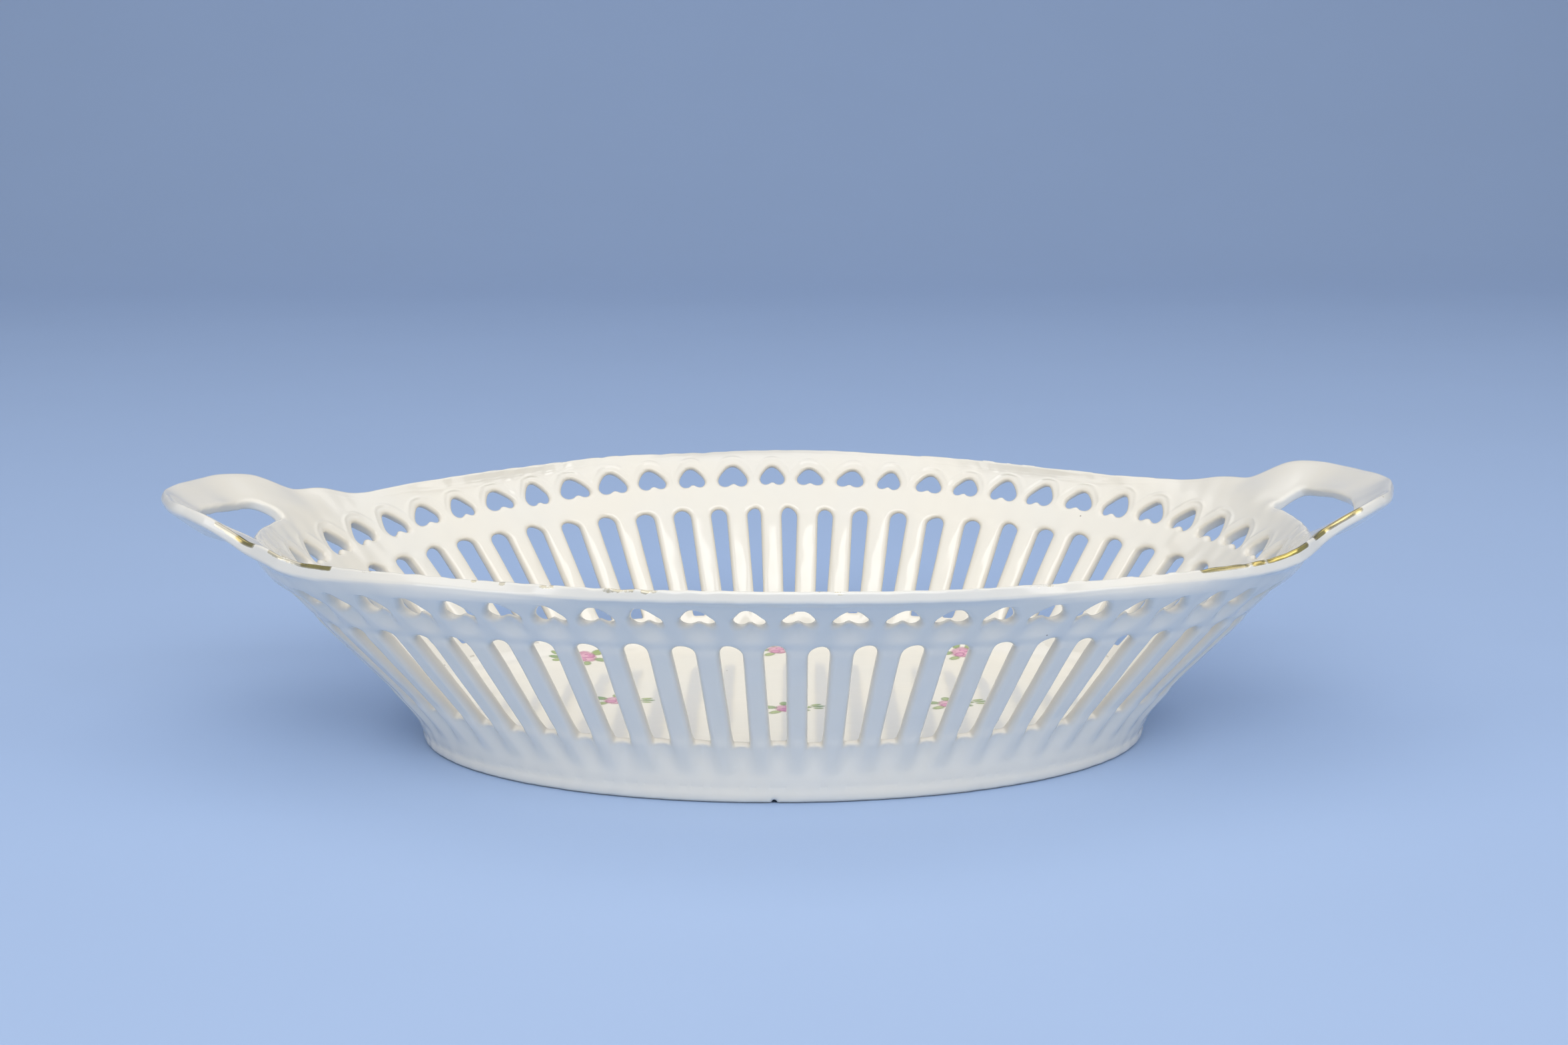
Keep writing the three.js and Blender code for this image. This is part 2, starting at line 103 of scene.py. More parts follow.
# the wall's surface, in millimetres, from the same sizes as the solids
bowl = {
    "openings": 58,
    "columnsPerPitch": 28,
    # half length, half width, height and dip of the ends at each station up the wall
    "stations": (
        (91.8, 62.1, 3.2, 0),
        (93.8, 62.4, 8, 0),
        (99, 64.7, 15.1, 0),
        (108.6, 71.4, 28, 2),
        (118.5, 79.8, 42.3, 5),
        (125, 86, 50.3, 5.8),
        (133.5, 92.3, 57.6, 4.1),
    ),
    # how they change for each millimetre below the foot's level
    "footSlope": (0.12, 0.12, 1, 0),
    # wall's top edge above the middle of the hearts
    "topMargin": 4.35,
    # how far above that edge the rim begins
    "rimStart": 0.5,
    # pitches from the middle of a side to the handle
    "rimRun": 12,
    # rows up the wall: from, to and step, finer where there is more to show
    "rowSteps": ((-4.4, 0, 0.4), (0, 11, 0.9), (11, 15, 0.4), (15, 37, 1.1), (37, 46, 0.45), (46, 49.6, 0.5)),
    "topRows": 23,
    # rows over the rim: how many, how much closer they lie at its start, and those past its edge
    "rimRows": 36,
    "rimEase": 0.45,
    "easePower": 1.6,
    "pastEdge": (0.4, 0.85, 1.4, 2.1),
    # pitches from the middle of a side over which plate, filling and handle come in
    "plateRamp": (10.2, 12.0),
    "fillRamp": (8.5, 11.5),
    "handleRamp": (11.0, 12.6),
}
# way up or down from the even wall at heart level, as the hand-made piece sags, by pitch from mid back
sag = {
    0: 0.4, 2: -0.1, 4.5: -0.8, 6.5: -0.5, 9: 0, 11: 0.3, 14.5: 0, 19: -0.7, 21: -0.7, 23: -0.1,
    27: -0.3, 29: 0, 31: 0.3, 33: 0.6, 35: 0.8, 37: 0.3, 39: 0, 43.5: -0.2, 45: -1.2, 47: -1.3,
    49: -0.9, 51: -0.3, 54: 0.3,
}
# the same for the rim's outer edge
rimSag = {
    0: -0.3, 1.5: -0.3, 3.2: -0.8, 5: -0.5, 8.4: -0.5, 10.4: -0.2, 12.5: 0, 17: 0, 19.5: -0.6,
    24: -0.5, 26: -0.3, 29: 0.1, 31: 0.3, 33: 0.2, 35: 0.3, 36.5: 0.7, 38.5: 0.3, 42: 0, 46: 0,
    47.3: -1.2, 49: -0.6, 51: 0, 54.4: 0, 56: -0.6,
}
# outer edge of the rim: turn from the side to the tip, way out of the wall's top edge, way above it
rim = {
    "turns": (0, 0.193, 0.392, 0.548),
    "out": (4.2, 3.2, 0.7, 2.3),
    "up": (2.6, 2.7, 3.3, 3.5),
    "halfThickness": 1.35,
    "edgeRadius": 0.6,
}
# outer edge of each hand-made handle, from the rim's neck over the root and the corner to the crossbar,
# and the inner edge round the finger gap, from the lip to the middle of the crossbar
handle = {
    "right": (
        (114, 51.4, 54.7), (123.4, 45.9, 56.4), (129.9, 40.4, 57.2), (139.3, 37.4, 61.9),
        (145.4, 32, 63.1), (149.8, 24.6, 63.2), (153.2, 14.1, 63.8), (155.9, 0, 64.1),
    ),
    "left": (
        (115.4, 47.6, 54.2), (124.4, 42, 56.3), (131.3, 36.9, 56.4), (139.1, 34, 60.1), (141, 33.2, 61.4),
        (144.4, 30.4, 62.1), (149.6, 24.3, 62.4), (153.9, 13.5, 63.1), (156.8, 0, 63.4),
    ),
    # which of the outer points is the root
    "root": 2,
    "rightGap": (
        (131.3, 19.5, 53.2), (139.3, 23.5, 56.7), (142, 18.8, 57.5), (144.2, 11, 58.5), (145.6, 0, 58.8),
    ),
    "leftGap": (
        (130.9, 19, 53.3), (138.3, 20.7, 55.9), (142, 17, 56.2), (144.8, 9.8, 57.2), (148.4, 0, 57.6),
    ),
    # the front arms lie flatter: way towards the middle and way up, by pitch
    "frontDraw": {
        14.5: 0, 15: 2, 16: 5, 16.5: 4.5, 17: 4, 18: 0,
        40: 0, 41: 2.5, 41.5: 4, 42: 4.5, 43: 1.5, 43.5: 0,
    },
    "frontUp": {
        14.5: 0, 15: 0.3, 16: 0.9, 16.5: 0.6, 17: 0.8, 18: 0,
        39: 0, 40: -0.5, 41: 0.6, 41.5: 0.8, 42: 1, 43: 0.3, 43.5: 0,
    },
    "halfThickness": 1.5,
    "edgeRadius": 0.9,
    # levels of the wall and of the lip that the smooth surface round an end goes through
    "wallLevels": (49.5, 53.5, 56),
    "lipLevel": 60.5,
    "pointsApart": 0.6,
    # the gap's front half, as a share of its back half
    "frontShare": 0.87,
    # corner radius between the finger gap and the lip, and the box round an end that holds the gap
    "gapRadius": 1.5,
    "gapBox": {"past": 110, "within": 45, "above": 50},
    # slant of the cut edge, from the rim to the handle
    "cutSlant": (0.75, 0.3),
}

stations = np.array(bowl["stations"], float)
steps = np.hypot(np.diff(stations[:, 1]), np.diff(stations[:, 2]))
stationLevels = np.r_[0, np.cumsum(steps)]
sillLevel, headLevel, heartLevel, lipLevel = stationLevels[[2, 4, 5, 6]]
wallTop = heartLevel + bowl["topMargin"]
openings, columnCount = bowl["openings"], bowl["openings"] * bowl["columnsPerPitch"]
# steps of a curve from each of its points to the next, and a distance longer than any that counts
curveSteps, farAway = 80, 50.0


# Value at pitches from a table by pitch, going round without a step.
def byPitch(table, pitch):
    return np.interp(pitch, list(table), list(table.values()), period=openings)


# Pitches from the middle of the nearer long side.
def pitchesFromSide(pitch):
    half = openings / 2
    return np.abs(((pitch + half / 2) % half) - half / 2)


def smoothStep(x, start, end):
    t = np.clip((x - start) / (end - start), 0, 1)
    return t * t * (3 - 2 * t)


def bump(x):
    return np.clip(1 - x * x, 0, 1) ** 2


def unit(vectors):
    return vectors / np.linalg.norm(vectors, axis=-1, keepdims=True)


# Cubic from a to b that leaves and arrives at the given slopes.
def cubic(t, a, slopeA, b, slopeB):
    return (
        (2 * t**3 - 3 * t**2 + 1) * a
        + (t**3 - 2 * t**2 + t) * slopeA
        + (3 * t**2 - 2 * t**3) * b
        + (t**3 - t**2) * slopeB
    )


# Value of each station column at the wanted levels, by cubic pieces.
def stationValues(wanted):
    wanted = np.asarray(wanted, float)
    runs = np.diff(stationLevels)
    below = np.maximum(np.arange(len(stations)) - 1, 0)
    above = np.minimum(np.arange(len(stations)) + 1, len(stations) - 1)
    slopes = (stations[above] - stations[below]) / (stationLevels[above] - stationLevels[below])[:, None]
    i = np.clip(np.searchsorted(stationLevels, wanted, side="right") - 1, 0, len(runs) - 1)
    run = runs[i][:, None]
    t = ((wanted - stationLevels[i]) / runs[i])[:, None]
    values = cubic(t, stations[i], run * slopes[i], stations[i + 1], run * slopes[i + 1])
    straight = stations[0] + wanted[:, None] * np.array(bowl["footSlope"])
    return np.where(wanted[:, None] < 0, straight, values)


# Middle of the wall at levels (rows) and shares of the way round (columns), from the middle of the back.
def wallPoints(wanted, shares):
    turn = np.linspace(0, 2 * np.pi, 721)
    rows = []
    sags = byPitch(sag, (np.asarray(shares) % 1) * openings)
    for level, (halfLength, halfWidth, height, dip) in zip(wanted, stationValues(wanted)):
        x, y = halfLength * np.sin(turn), halfWidth * np.cos(turn)
        run = np.r_[0, np.cumsum(np.hypot(np.diff(x), np.diff(y)))]
        angle = np.interp((np.asarray(shares) % 1) * run[-1], run, turn)
        share = np.clip((level - sillLevel) / (heartLevel - sillLevel), 0, 1)
        rows.append(np.stack([
            halfLength * np.sin(angle),
            halfWidth * np.cos(angle),
            height - dip * np.sin(angle) ** 2 + sags * share,
        ], -1))
    return np.array(rows)


# Distance to a closed outline, positive inside it.
def insideRing(x, y, ring):
    best = np.full(x.shape, 1e9)
    inside = np.zeros(x.shape, bool)
    for (ax, ay), (bx, by) in zip(ring[:-1], ring[1:]):
        dx, dy = bx - ax, by - ay
        t = np.clip(((x - ax) * dx + (y - ay) * dy) / max(dx * dx + dy * dy, 1e-12), 0, 1)
        best = np.minimum(best, np.hypot(x - ax - t * dx, y - ay - t * dy))
        if abs(dy) > 1e-12:
            inside ^= ((ay > y) != (by > y)) & (x < ax + (y - ay) * dx / dy)
    return np.where(inside, best, -best)


# Lengths along a line of points, from its first.
def runAlong(points, power=1):
    return np.r_[0, np.cumsum(np.linalg.norm(np.diff(points, axis=0), axis=1) ** power)]


# Smooth open curve through points.
def denseCurve(points):
    p = np.array(points, float)
    p = np.vstack([2 * p[0] - p[1], p, 2 * p[-1] - p[-2]])
    t = runAlong(p, 0.5)
    dense = []
    for k in range(1, len(p) - 2):
        s = np.linspace(t[k], t[k + 1], curveSteps)[:, None]
        knots, places = t[k - 1:k + 3], p[k - 1:k + 3]
        # blends of neighbours, then of those blends, down to one
        for spans in (((0, 1), (1, 2), (2, 3)), ((0, 2), (1, 3)), ((1, 2),)):
            places = [
                (knots[b] - s) / (knots[b] - knots[a]) * places[n]
                + (s - knots[a]) / (knots[b] - knots[a]) * places[n + 1]
                for n, (a, b) in enumerate(spans)
            ]
        dense.append(places[0])
    return np.vstack(dense)


# The same curve as a number of points evenly along it.
def smoothCurve(points, count):
    return alongCurve(denseCurve(points), np.linspace(0, 1, count))


def alongCurve(points, shares):
    run = runAlong(points)
    return np.stack([np.interp(np.asarray(shares) * run[-1], run, points[:, c]) for c in range(3)], -1)


def mirrored(points, x, y):
    return np.asarray(points) * np.array([x, y, 1])


# The rim's outer edge along a quarter, from the middle of a side.
def rimQuarter():
    points = []
    halfLength, halfWidth, height, dip = stationValues([wallTop + bowl["rimStart"]])[0]
    for turn, out, up in zip(rim["turns"], rim["out"], rim["up"]):
        angle = turn * math.pi / 2
        on = np.array([halfLength * math.sin(angle), halfWidth * math.cos(angle)])
        on += out * on / np.linalg.norm(on)
        points.append((on[0], on[1], height - dip * math.sin(angle) ** 2 + up))
    return np.array(points)


# Outer edge of rim and handle from the middle of a side to the middle of a crossbar, for one end.
def edgeQuarter(side):
    rimPart = rimQuarter()
    points = np.vstack([rimPart, handle[side]])
    whole = np.vstack([
        mirrored(rimPart[:0:-1], -1, 1), points, mirrored(points[-2:-4:-1], 1, -1),
    ])
    first = len(rimPart) - 1
    dense = denseCurve(whole)
    dense = dense[curveSteps * first:curveSteps * (first + len(points) - 1)]
    run = runAlong(dense)
    return dense, run, run[curveSteps * (len(rimPart) + handle["root"])]


edgeQuarters = {side: edgeQuarter(side) for side in ("right", "left")}
innerRoot = wallPoints([wallTop + bowl["rimStart"]], [bowl["rimRun"] / openings])[0, 0]


# Inner edge round a finger gap, from lip to lip, on the right of the bowl.
def innerLoop(side):
    arm = np.array(handle[side + "Gap"])
    return smoothCurve(np.vstack([arm, mirrored(arm[-2::-1], 1, -handle["frontShare"])]), 400)


innerLoops = {side: innerLoop(side) for side in ("right", "left")}


# Outer edge of rim and handles at shares of the way round.
def outerEdge(shares):
    half = openings / 2
    pitch = (np.asarray(shares) * openings) % openings
    onLeft = pitch > half
    folded = np.where(onLeft, openings - pitch, pitch)
    onFront = folded > half / 2
    folded = np.where(onFront, half - folded, folded)
    result = np.zeros((len(pitch), 3))
    for side, chosen in (("right", ~onLeft), ("left", onLeft)):
        dense, run, root = edgeQuarters[side]
        length = np.interp(folded[chosen], [0, bowl["rimRun"], half / 2], [0, root, run[-1]])
        for axis in range(3):
            result[chosen, axis] = np.interp(length, run, dense[:, axis])
    result[:, 0] *= np.where(onLeft, -1, 1)
    result[:, 1] *= np.where(onFront, -1, 1)
    result[:, 1] += byPitch(handle["frontDraw"], pitch)
    result[:, 2] += byPitch(handle["frontUp"], pitch)
    result[:, 2] += byPitch(rimSag, pitch)
    return result


# Thin plate through known points, for the heights of rim, lip and handles.
def thinPlate(points):
    def bend(a, b):
        r2 = ((a[:, None, :] - b[None, :, :]) ** 2).sum(-1)
        return 0.5 * r2 * np.log(np.maximum(r2, 1e-9))
    scale, softness, parts = 100.0, 1e-4, 24
    xy = points[:, :2] / scale
    n = len(xy)
    flat = np.c_[np.ones(n), xy]
    system = np.zeros((n + 3, n + 3))
    system[:n, :n] = bend(xy, xy) + softness * np.eye(n)
    system[:n, n:] = flat
    system[n:, :n] = flat.T
    weights = np.linalg.solve(system, np.r_[points[:, 2], 0, 0, 0])

    def height(x, y):
        place = np.c_[x.ravel(), y.ravel()] / scale
        out = np.concatenate([
            bend(part, xy) @ weights[:n] + np.c_[np.ones(len(part)), part] @ weights[n:]
            for part in np.array_split(place, parts)
        ])
        return out.reshape(x.shape)
    return height


# Known points of the wall's top, lip and handle round one end.
def knownHeights(side):
    tip = 0.25 if side == "right" else 0.75
    near = tip + np.arange(-5.5, 5.6, 0.5) / openings
    points = [wallPoints([*handle["wallLevels"], wallTop], near).reshape(-1, 3)]
    lip = tip + np.linspace(-2.2, 2.2, 9) / openings
    points += [wallPoints([handle["lipLevel"], lipLevel], lip).reshape(-1, 3), outerEdge(near)]
    gapEdge = alongCurve(innerLoops[side], np.linspace(0.03, 0.97, 22))
    points.append(mirrored(gapEdge, 1 if side == "right" else -1, 1))
    kept = []
    for p in np.vstack(points):
        # a point close to an earlier one says nothing new
        if not kept or np.min(np.hypot(*(np.array(kept)[:, :2] - p[:2]).T)) > handle["pointsApart"]:
            kept.append(p)
    return np.array(kept)


def rowLevels():
    parts = [np.arange(*step) for step in bowl["rowSteps"]]
    return np.concatenate(parts + [np.linspace(bowl["rowSteps"][-1][1], wallTop, bowl["topRows"])])


def flangeShares():
    s = np.linspace(0, 1, bowl["rimRows"] + 1)[1:]
    return (1 - bowl["rimEase"]) * s + bowl["rimEase"] * s ** bowl["easePower"]


shares = np.arange(columnCount) / columnCount
levels = rowLevels()
across = flangeShares()
beyond = np.array(bowl["pastEdge"])
lower = wallPoints(levels, shares)
edge = outerEdge(shares)
top = lower[-1]
way = edge - top
wayLength = np.linalg.norm(way, axis=1)
planLength = np.linalg.norm(way[:, :2], axis=1)


# Rows from the wall's top to the outer edge and a little beyond: a flare that leaves the wall smoothly.
def flaredRows():
    riseDirection = unit(top - lower[-2])
    chord = way / wayLength[:, None]
    endDirection = unit(chord + 0.5 * (chord - riseDirection))
    slopes = riseDirection * wayLength[:, None], endDirection * wayLength[:, None]
    rows = [cubic(s, top, slopes[0], edge, slopes[1]) for s in across]
    rows += [edge + b * endDirection for b in beyond]
    return np.array(rows)


# The same rows round an end, laid on the smooth surface through wall, lip and handle.
def plateRows(side):
    plateHeight = thinPlate(knownHeights(side))
    plan = [top[:, :2] + s * way[:, :2] for s in across]
    plan += [edge[:, :2] + b * way[:, :2] / planLength[:, None] for b in beyond]
    plan = np.array(plan)
    return np.dstack([plan, plateHeight(plan[..., 0], plan[..., 1])])


pitches = shares * openings
pitchFromSide = pitchesFromSide(pitches)
flange = flaredRows()
atEnd = smoothStep(pitchFromSide, *bowl["plateRamp"])
for side, chosen in (("right", shares <= 0.5), ("left", shares > 0.5)):
    part = (atEnd * chosen)[None, :, None]
    flange = flange * (1 - part) + plateRows(side) * part
middle = np.concatenate([lower, flange])
wallRows, rowCount = len(levels), len(middle)
acrossAll = np.r_[np.zeros(wallRows), across, 1 + beyond / 6]
print("wall surface:", rowCount, "rows by", columnCount, "columns")


def columnStep(values):
    return (np.roll(values, -1, 1) - np.roll(values, 1, 1)) / 2


# Steps of a grid of points along its rows and up its columns, and its normals.
def stepsAndNormals(grid):
    ahead, rise = columnStep(grid), np.gradient(grid, axis=0)
    return ahead, rise, unit(np.cross(rise, ahead))


ahead, rise, normals = stepsAndNormals(middle)
pitchSize = np.linalg.norm(ahead, axis=2) * bowl["columnsPerPitch"]
stepUp = np.linalg.norm(np.diff(middle, axis=0), axis=2)
heightOnWall = np.repeat(np.r_[levels, np.zeros(rowCount - wallRows)][:, None], columnCount, 1)
heightOnWall[wallRows:] = levels[-1] + np.cumsum(stepUp[wallRows - 1:], axis=0)


# Length of a field's slope on the surface, per millimetre.
def slopeOf(field):
    fi, fj = columnStep(field), np.gradient(field, axis=0)
    e, g = (ahead**2).sum(-1), (rise**2).sum(-1)
    f = (ahead * rise).sum(-1)
    area = np.maximum(e * g - f * f, 1e-9)
    return np.sqrt(np.maximum((fi * fi * g - 2 * fi * fj * f + fj * fj * e) / area, 1e-9))


# slots, hearts and relief
slots = {
    # narrower by so many millimetres
    "narrow": {
        0: 0.8, 1: 0.7, 2: 0.7, 3: 0.8, 4: 0.7, 5: 0.6, 6: 0.6, 7: 0.5, 8: 0.4, 9: 0.3,
        50: 0.3, 51: 0.4, 52: 0.3, 53: 0.2, 54: 0.3, 55: 0.3, 56: 1, 57: 1.4,
    },
    "sillWidth": 3.75,
    "headWidth": 5.3,
    "headRise": 2.5,
    "cornerRadius": 0.45,
    "widthVary": 0.3,
    "levelVary": 0.28,
    "leanVary": 0.22,
    "sillVary": 0.15,
    # heads are flatter or higher, and lean to a side
    "riseVary": 0.15,
    "headLean": 0.3,
    "seed": 11,
}
hearts = {
    "width": 7.5,
    "arch": 3.35,
    "drop": 2.75,
    "cusp": 1.15,
    "widthVary": 0.4,
    "levelVary": 0.22,
    "leanVary": 0.12,
    "placeVary": 0.2,
    "heightVary": 0.08,
    # hearts cut smaller than the rest
    "small": {1: 0.8, 2: 0.86, 3: 0.82, 4: 0.8, 5: 0.9, 8: 0.9, 49: 0.87},
    "seed": 5,
}
relief = {
    "halfThickness": 1.4,
    "edgeRadius": 1.2,
    "sillRadius": 0.5,
    "footRadius": 1.3,
    "staveOutside": 0.25,
    "staveInside": 0.5,
    "rib": 0.45,
    "channel": 1.0,
    "channelRun": 9.5,
    "crease": 0.22,
    "headScoop": 0.35,
    "heartScoop": 1.7,
    # the openings are cut aslant, higher outside
    "cutRise": 0.3,
    "endFill": 1.0,
    "cove": 0.9,
    "bead": 0.21,
    "beadAway": 2.2,
    "rimLine": 0.03,
    "lumps": 0.08,
    # waves of the lumps: how many, from and to how many round the bowl, and their lengths up the wall
    "waves": 26,
    "wavesRound": (9, 120),
    "wavesUp": (5, 22),
}
# where reliefs come in and go out up the wall: level to count from, start and end of each ramp
fades = {
    "staves": ((sillLevel, -4, 5), (headLevel, -2.5, 0.5)),
    "ribs": ((sillLevel, -relief["channelRun"], -1), (sillLevel, 0, 4)),
    "channels": ((sillLevel, -relief["channelRun"], -1), (sillLevel, 1, 5)),
    "headScoops": ((headLevel, -2, 0.6), (headLevel, 2, 4)),
    "heartScoops": ((heartLevel, -8.5, -3.2), (heartLevel, -0.5, 1.5)),
}

slotVary, heartVary = (
    np.random.default_rng(cut["seed"]).uniform(-1, 1, (openings, 6)) for cut in (slots, hearts)
)
# way that the hand-cut openings stray towards rising pitch, in millimetres: hearts, slot heads and sills
drift = {
    "hearts": {
        0: -0.4, 1: -0.7, 3: -0.5, 5: -1, 7: -1.9, 9: -1.5, 11: -1.6, 12: -2.3, 13: -2.4, 14.5: -0.8,
        20: -1.1, 21: 0, 23: -0.4, 25: 0.35, 27: -0.6, 28: 0.3, 29: -0.2, 30: -0.3, 32: -0.1, 33: -0.7,
        35: -1.1, 36: -1.2, 37: -0.5, 38: 0.6, 39: 0.5, 43.5: 0, 45: -0.8, 47: -0.5, 50: -0.8, 52: -1.1,
        54: -0.9, 55: -1.1, 56: -0.5, 57: 0,
    },
    "heads": {
        0.5: -1, 2.5: -2, 3.5: -1.8, 5: -1.4, 8: -1.2, 10: -1, 14.5: 0, 20: 0.3, 23.5: 0.8, 24.5: 0.4,
        25.5: 0.7, 28.5: 0.75, 29.5: -0.35, 30.5: -1.25, 32.5: -1.1, 33.5: -0.4, 36: -0.3, 40: 0, 44: 0,
        48: -0.4, 52: -0.4, 53.5: -0.3, 54.5: 0.3, 56.5: 0.35, 57.5: -0.6,
    },
    "sills": {
        0.5: -0.8, 2.5: -0.5, 5: 0, 10: -0.1, 14.5: 0, 25.5: 0, 27: 0.65, 28.5: -0.15, 29.5: -0.75,
        30.5: -1.1, 31.5: -0.85, 32.5: -0.2, 34: 0.5, 38: 0, 44: 0, 48: 0.4, 53: 0.45, 56.5: 0.5, 57.5: 0,
    },
    # pitch at heart level, which turns the hearts' stray into a share
    "heartPitch": 11.5,
}


# One value for each opening, usual where the table has none.
def perOpening(table, usual):
    return np.array([table.get(cell, usual) for cell in range(openings)], float)


heartStray, headStray, sillStray = (byPitch(drift[cut], pitches) for cut in ("hearts", "heads", "sills"))
upSlot = np.clip((heightOnWall - sillLevel) / (headLevel - sillLevel), 0, 1.2)
slotPitches = pitches - (sillStray + (headStray - sillStray) * upSlot) / pitchSize
heartPitches = pitches - heartStray / drift["heartPitch"]
slotCell = np.floor(slotPitches).astype(int) % openings
heartCell = np.round(heartPitches).astype(int) % openings
fromSlot = slotPitches - np.floor(slotPitches) - 0.5
fromHeart = heartPitches - np.round(heartPitches)
slotNarrow, heartSize = perOpening(slots["narrow"], 0), perOpening(hearts["small"], 1)


# Distance to the edge of a slot, positive on the wall.
def slotDistance():
    vary = slotVary[slotCell]
    level = heightOnWall - slots["levelVary"] * vary[..., 0]
    spring = headLevel - slots["headRise"]
    part = (level - sillLevel) / (spring - sillLevel)
    width = slots["sillWidth"] + (slots["headWidth"] - slots["sillWidth"]) * np.clip(part, -0.2, 1.2)
    half = (width + slots["widthVary"] * vary[..., 1] - slotNarrow[slotCell]) / 2
    x = fromSlot * pitchSize - slots["leanVary"] * vary[..., 2] * (part - 0.3)
    side = np.abs(x) - half
    sill = sillLevel + slots["sillVary"] * vary[..., 3] - level
    r = slots["cornerRadius"]
    body = np.minimum(-r, np.maximum(side, sill)) + np.hypot(np.maximum(side + r, 0), np.maximum(sill + r, 0))
    up = np.maximum(level - spring, 0)
    lean = slots["headLean"] * vary[..., 4] * np.clip(x / half, -1, 1)
    riseHere = slots["headRise"] * (1 + slots["riseVary"] * vary[..., 5]) * (1 + lean)
    q = np.sqrt((x / half) ** 2 + (up / riseHere) ** 2)
    slope = np.sqrt((x / half**2) ** 2 + (up / riseHere**2) ** 2) / np.maximum(q, 1e-6)
    head = (q - 1) / np.maximum(slope, 0.2)
    return np.where(level > spring, head, body), x


# table of distances round a heart: how far it reaches each way, and its cells
heartGrid = {"reach": 8, "cells": 128}


# Outline of a heart, point up, and the distances to it.
def heartTable():
    w = hearts["width"] / 2
    drop, arch = hearts["drop"], hearts["arch"]
    half = [
        (0, hearts["cusp"] - drop),
        (0.18 * w, -0.66 * drop),
        (0.39 * w, -0.91 * drop),
        (0.6 * w, -1.0 * drop),
        (0.86 * w, -0.86 * drop),
        (1.0 * w, -0.44 * drop),
        (0.91 * w, 0.02 * arch),
        (0.7 * w, 0.42 * arch),
        (0.46 * w, 0.75 * arch),
        (0.22 * w, 0.95 * arch),
        (0, arch),
    ]
    half = np.array([(x, y, 0) for x, y in half])
    outline = np.vstack([half, mirrored(half[-2:0:-1], -1, 1), half[:1]])
    axis = np.linspace(-heartGrid["reach"], heartGrid["reach"], heartGrid["cells"] + 1)
    return -insideRing(*np.meshgrid(axis, axis), smoothCurve(outline, 240)[:, :2])


def fromTable(table, x, y):
    reach, cells = heartGrid["reach"], heartGrid["cells"]
    fx, fy = (np.clip((v + reach) * (cells / (2 * reach)), 0, cells - 0.001) for v in (x, y))
    ix, iy = fx.astype(int), fy.astype(int)
    tx, ty = fx - ix, fy - iy
    low = table[iy, ix] * (1 - tx) + table[iy, ix + 1] * tx
    high = table[iy + 1, ix] * (1 - tx) + table[iy + 1, ix + 1] * tx
    return low * (1 - ty) + high * ty


def heartDistance():
    table = heartTable()
    vary = heartVary[heartCell]
    y = heightOnWall - heartLevel - hearts["levelVary"] * vary[:, 0]
    x = fromHeart * pitchSize - hearts["placeVary"] * vary[:, 1] - hearts["leanVary"] * vary[:, 2] * y
    wide = (1 + heartSize[heartCell]) / 2 + hearts["widthVary"] * vary[:, 3] / (hearts["width"] / 2)
    tall = heartSize[heartCell] + hearts["heightVary"] * vary[:, 4]
    return fromTable(table, x / wide, y / tall) * np.minimum(wide, tall), x, y


slotEdge, slotX = slotDistance()
heartEdge, heartX, heartY = heartDistance()


# Unevenness of the glaze and body: a few long waves with seeded phases.
def lumps(seed, scale):
    waves = np.random.default_rng(seed)
    total = np.zeros(heightOnWall.shape)
    turn = 2 * np.pi * shares[None, :]
    for n in range(relief["waves"]):
        around = int(waves.integers(*relief["wavesRound"]))
        up = waves.uniform(-1, 1) * 2 * np.pi / waves.uniform(*relief["wavesUp"])
        total += np.sin(around * turn + up * heightOnWall + waves.uniform(0, 2 * np.pi))
    return scale * total / math.sqrt(relief["waves"])


# Share of a relief up the wall.
def fadeOf(name):
    comes, goes = (smoothStep(heightOnWall, at + start, at + end) for at, start, end in fades[name])
    return comes * (1 - goes)


halfPitch = pitchSize / 2
inStaves = fadeOf("staves")
# distance across a stave, 0 on its middle and 1 at the slots
slotHalf = (slots["sillWidth"] + slots["headWidth"]) / 4
acrossStave = np.clip((halfPitch - np.abs(slotX)) / np.maximum(halfPitch - slotHalf, 1), 0, 1)
staveCrown = (1 - acrossStave**2) * inStaves

# chutes that run down from the sills, with ribs between them
ribs = (1 - bump(slotX / (0.5 * pitchSize))) * fadeOf("ribs")
channel = bump(slotX / (0.42 * pitchSize)) * fadeOf("channels")
crease = bump((heightOnWall - 0.6) / 1.5)

headScoop = np.exp(-(((slotEdge - 0.2) / 1.4) ** 2)) * fadeOf("headScoops")
underHeart = bump(heartX / (0.44 * pitchSize)) * fadeOf("heartScoops")
nearEnd = smoothStep(pitchFromSide, *bowl["fillRamp"])[None, :]
endFill = nearEnd * smoothStep(heightOnWall, sillLevel, headLevel)

beadLine = bump((heartEdge - relief["beadAway"]) / 0.75) * smoothStep(heartY, -3.6, -1.2)
beadInside = (1 - smoothStep(heartEdge, relief["beadAway"] - 0.9, relief["beadAway"] + 0.2))
beadInside = beadInside * smoothStep(heartY, -3.2, -0.5)
beadInside = beadInside * (1 - smoothStep(heightOnWall, lipLevel - 3, lipLevel - 1))

acrossGrid = np.repeat(acrossAll[:, None], columnCount, 1)
handleness = smoothStep(pitchFromSide, *bowl["handleRamp"])[None, :] * smoothStep(acrossGrid, 0.1, 0.4)

pastEdge = np.r_[np.zeros(wallRows + len(across)), beyond][:, None]
fromRimEdge = np.where(acrossGrid > 1, -pastEdge, (1 - acrossGrid) * wayLength[None, :])
fromRimEdge = fromRimEdge + np.where(acrossGrid <= 0, (levels[-1] - heightOnWall).clip(0), 0)
edgeDistance = fromRimEdge / slopeOf(fromRimEdge)

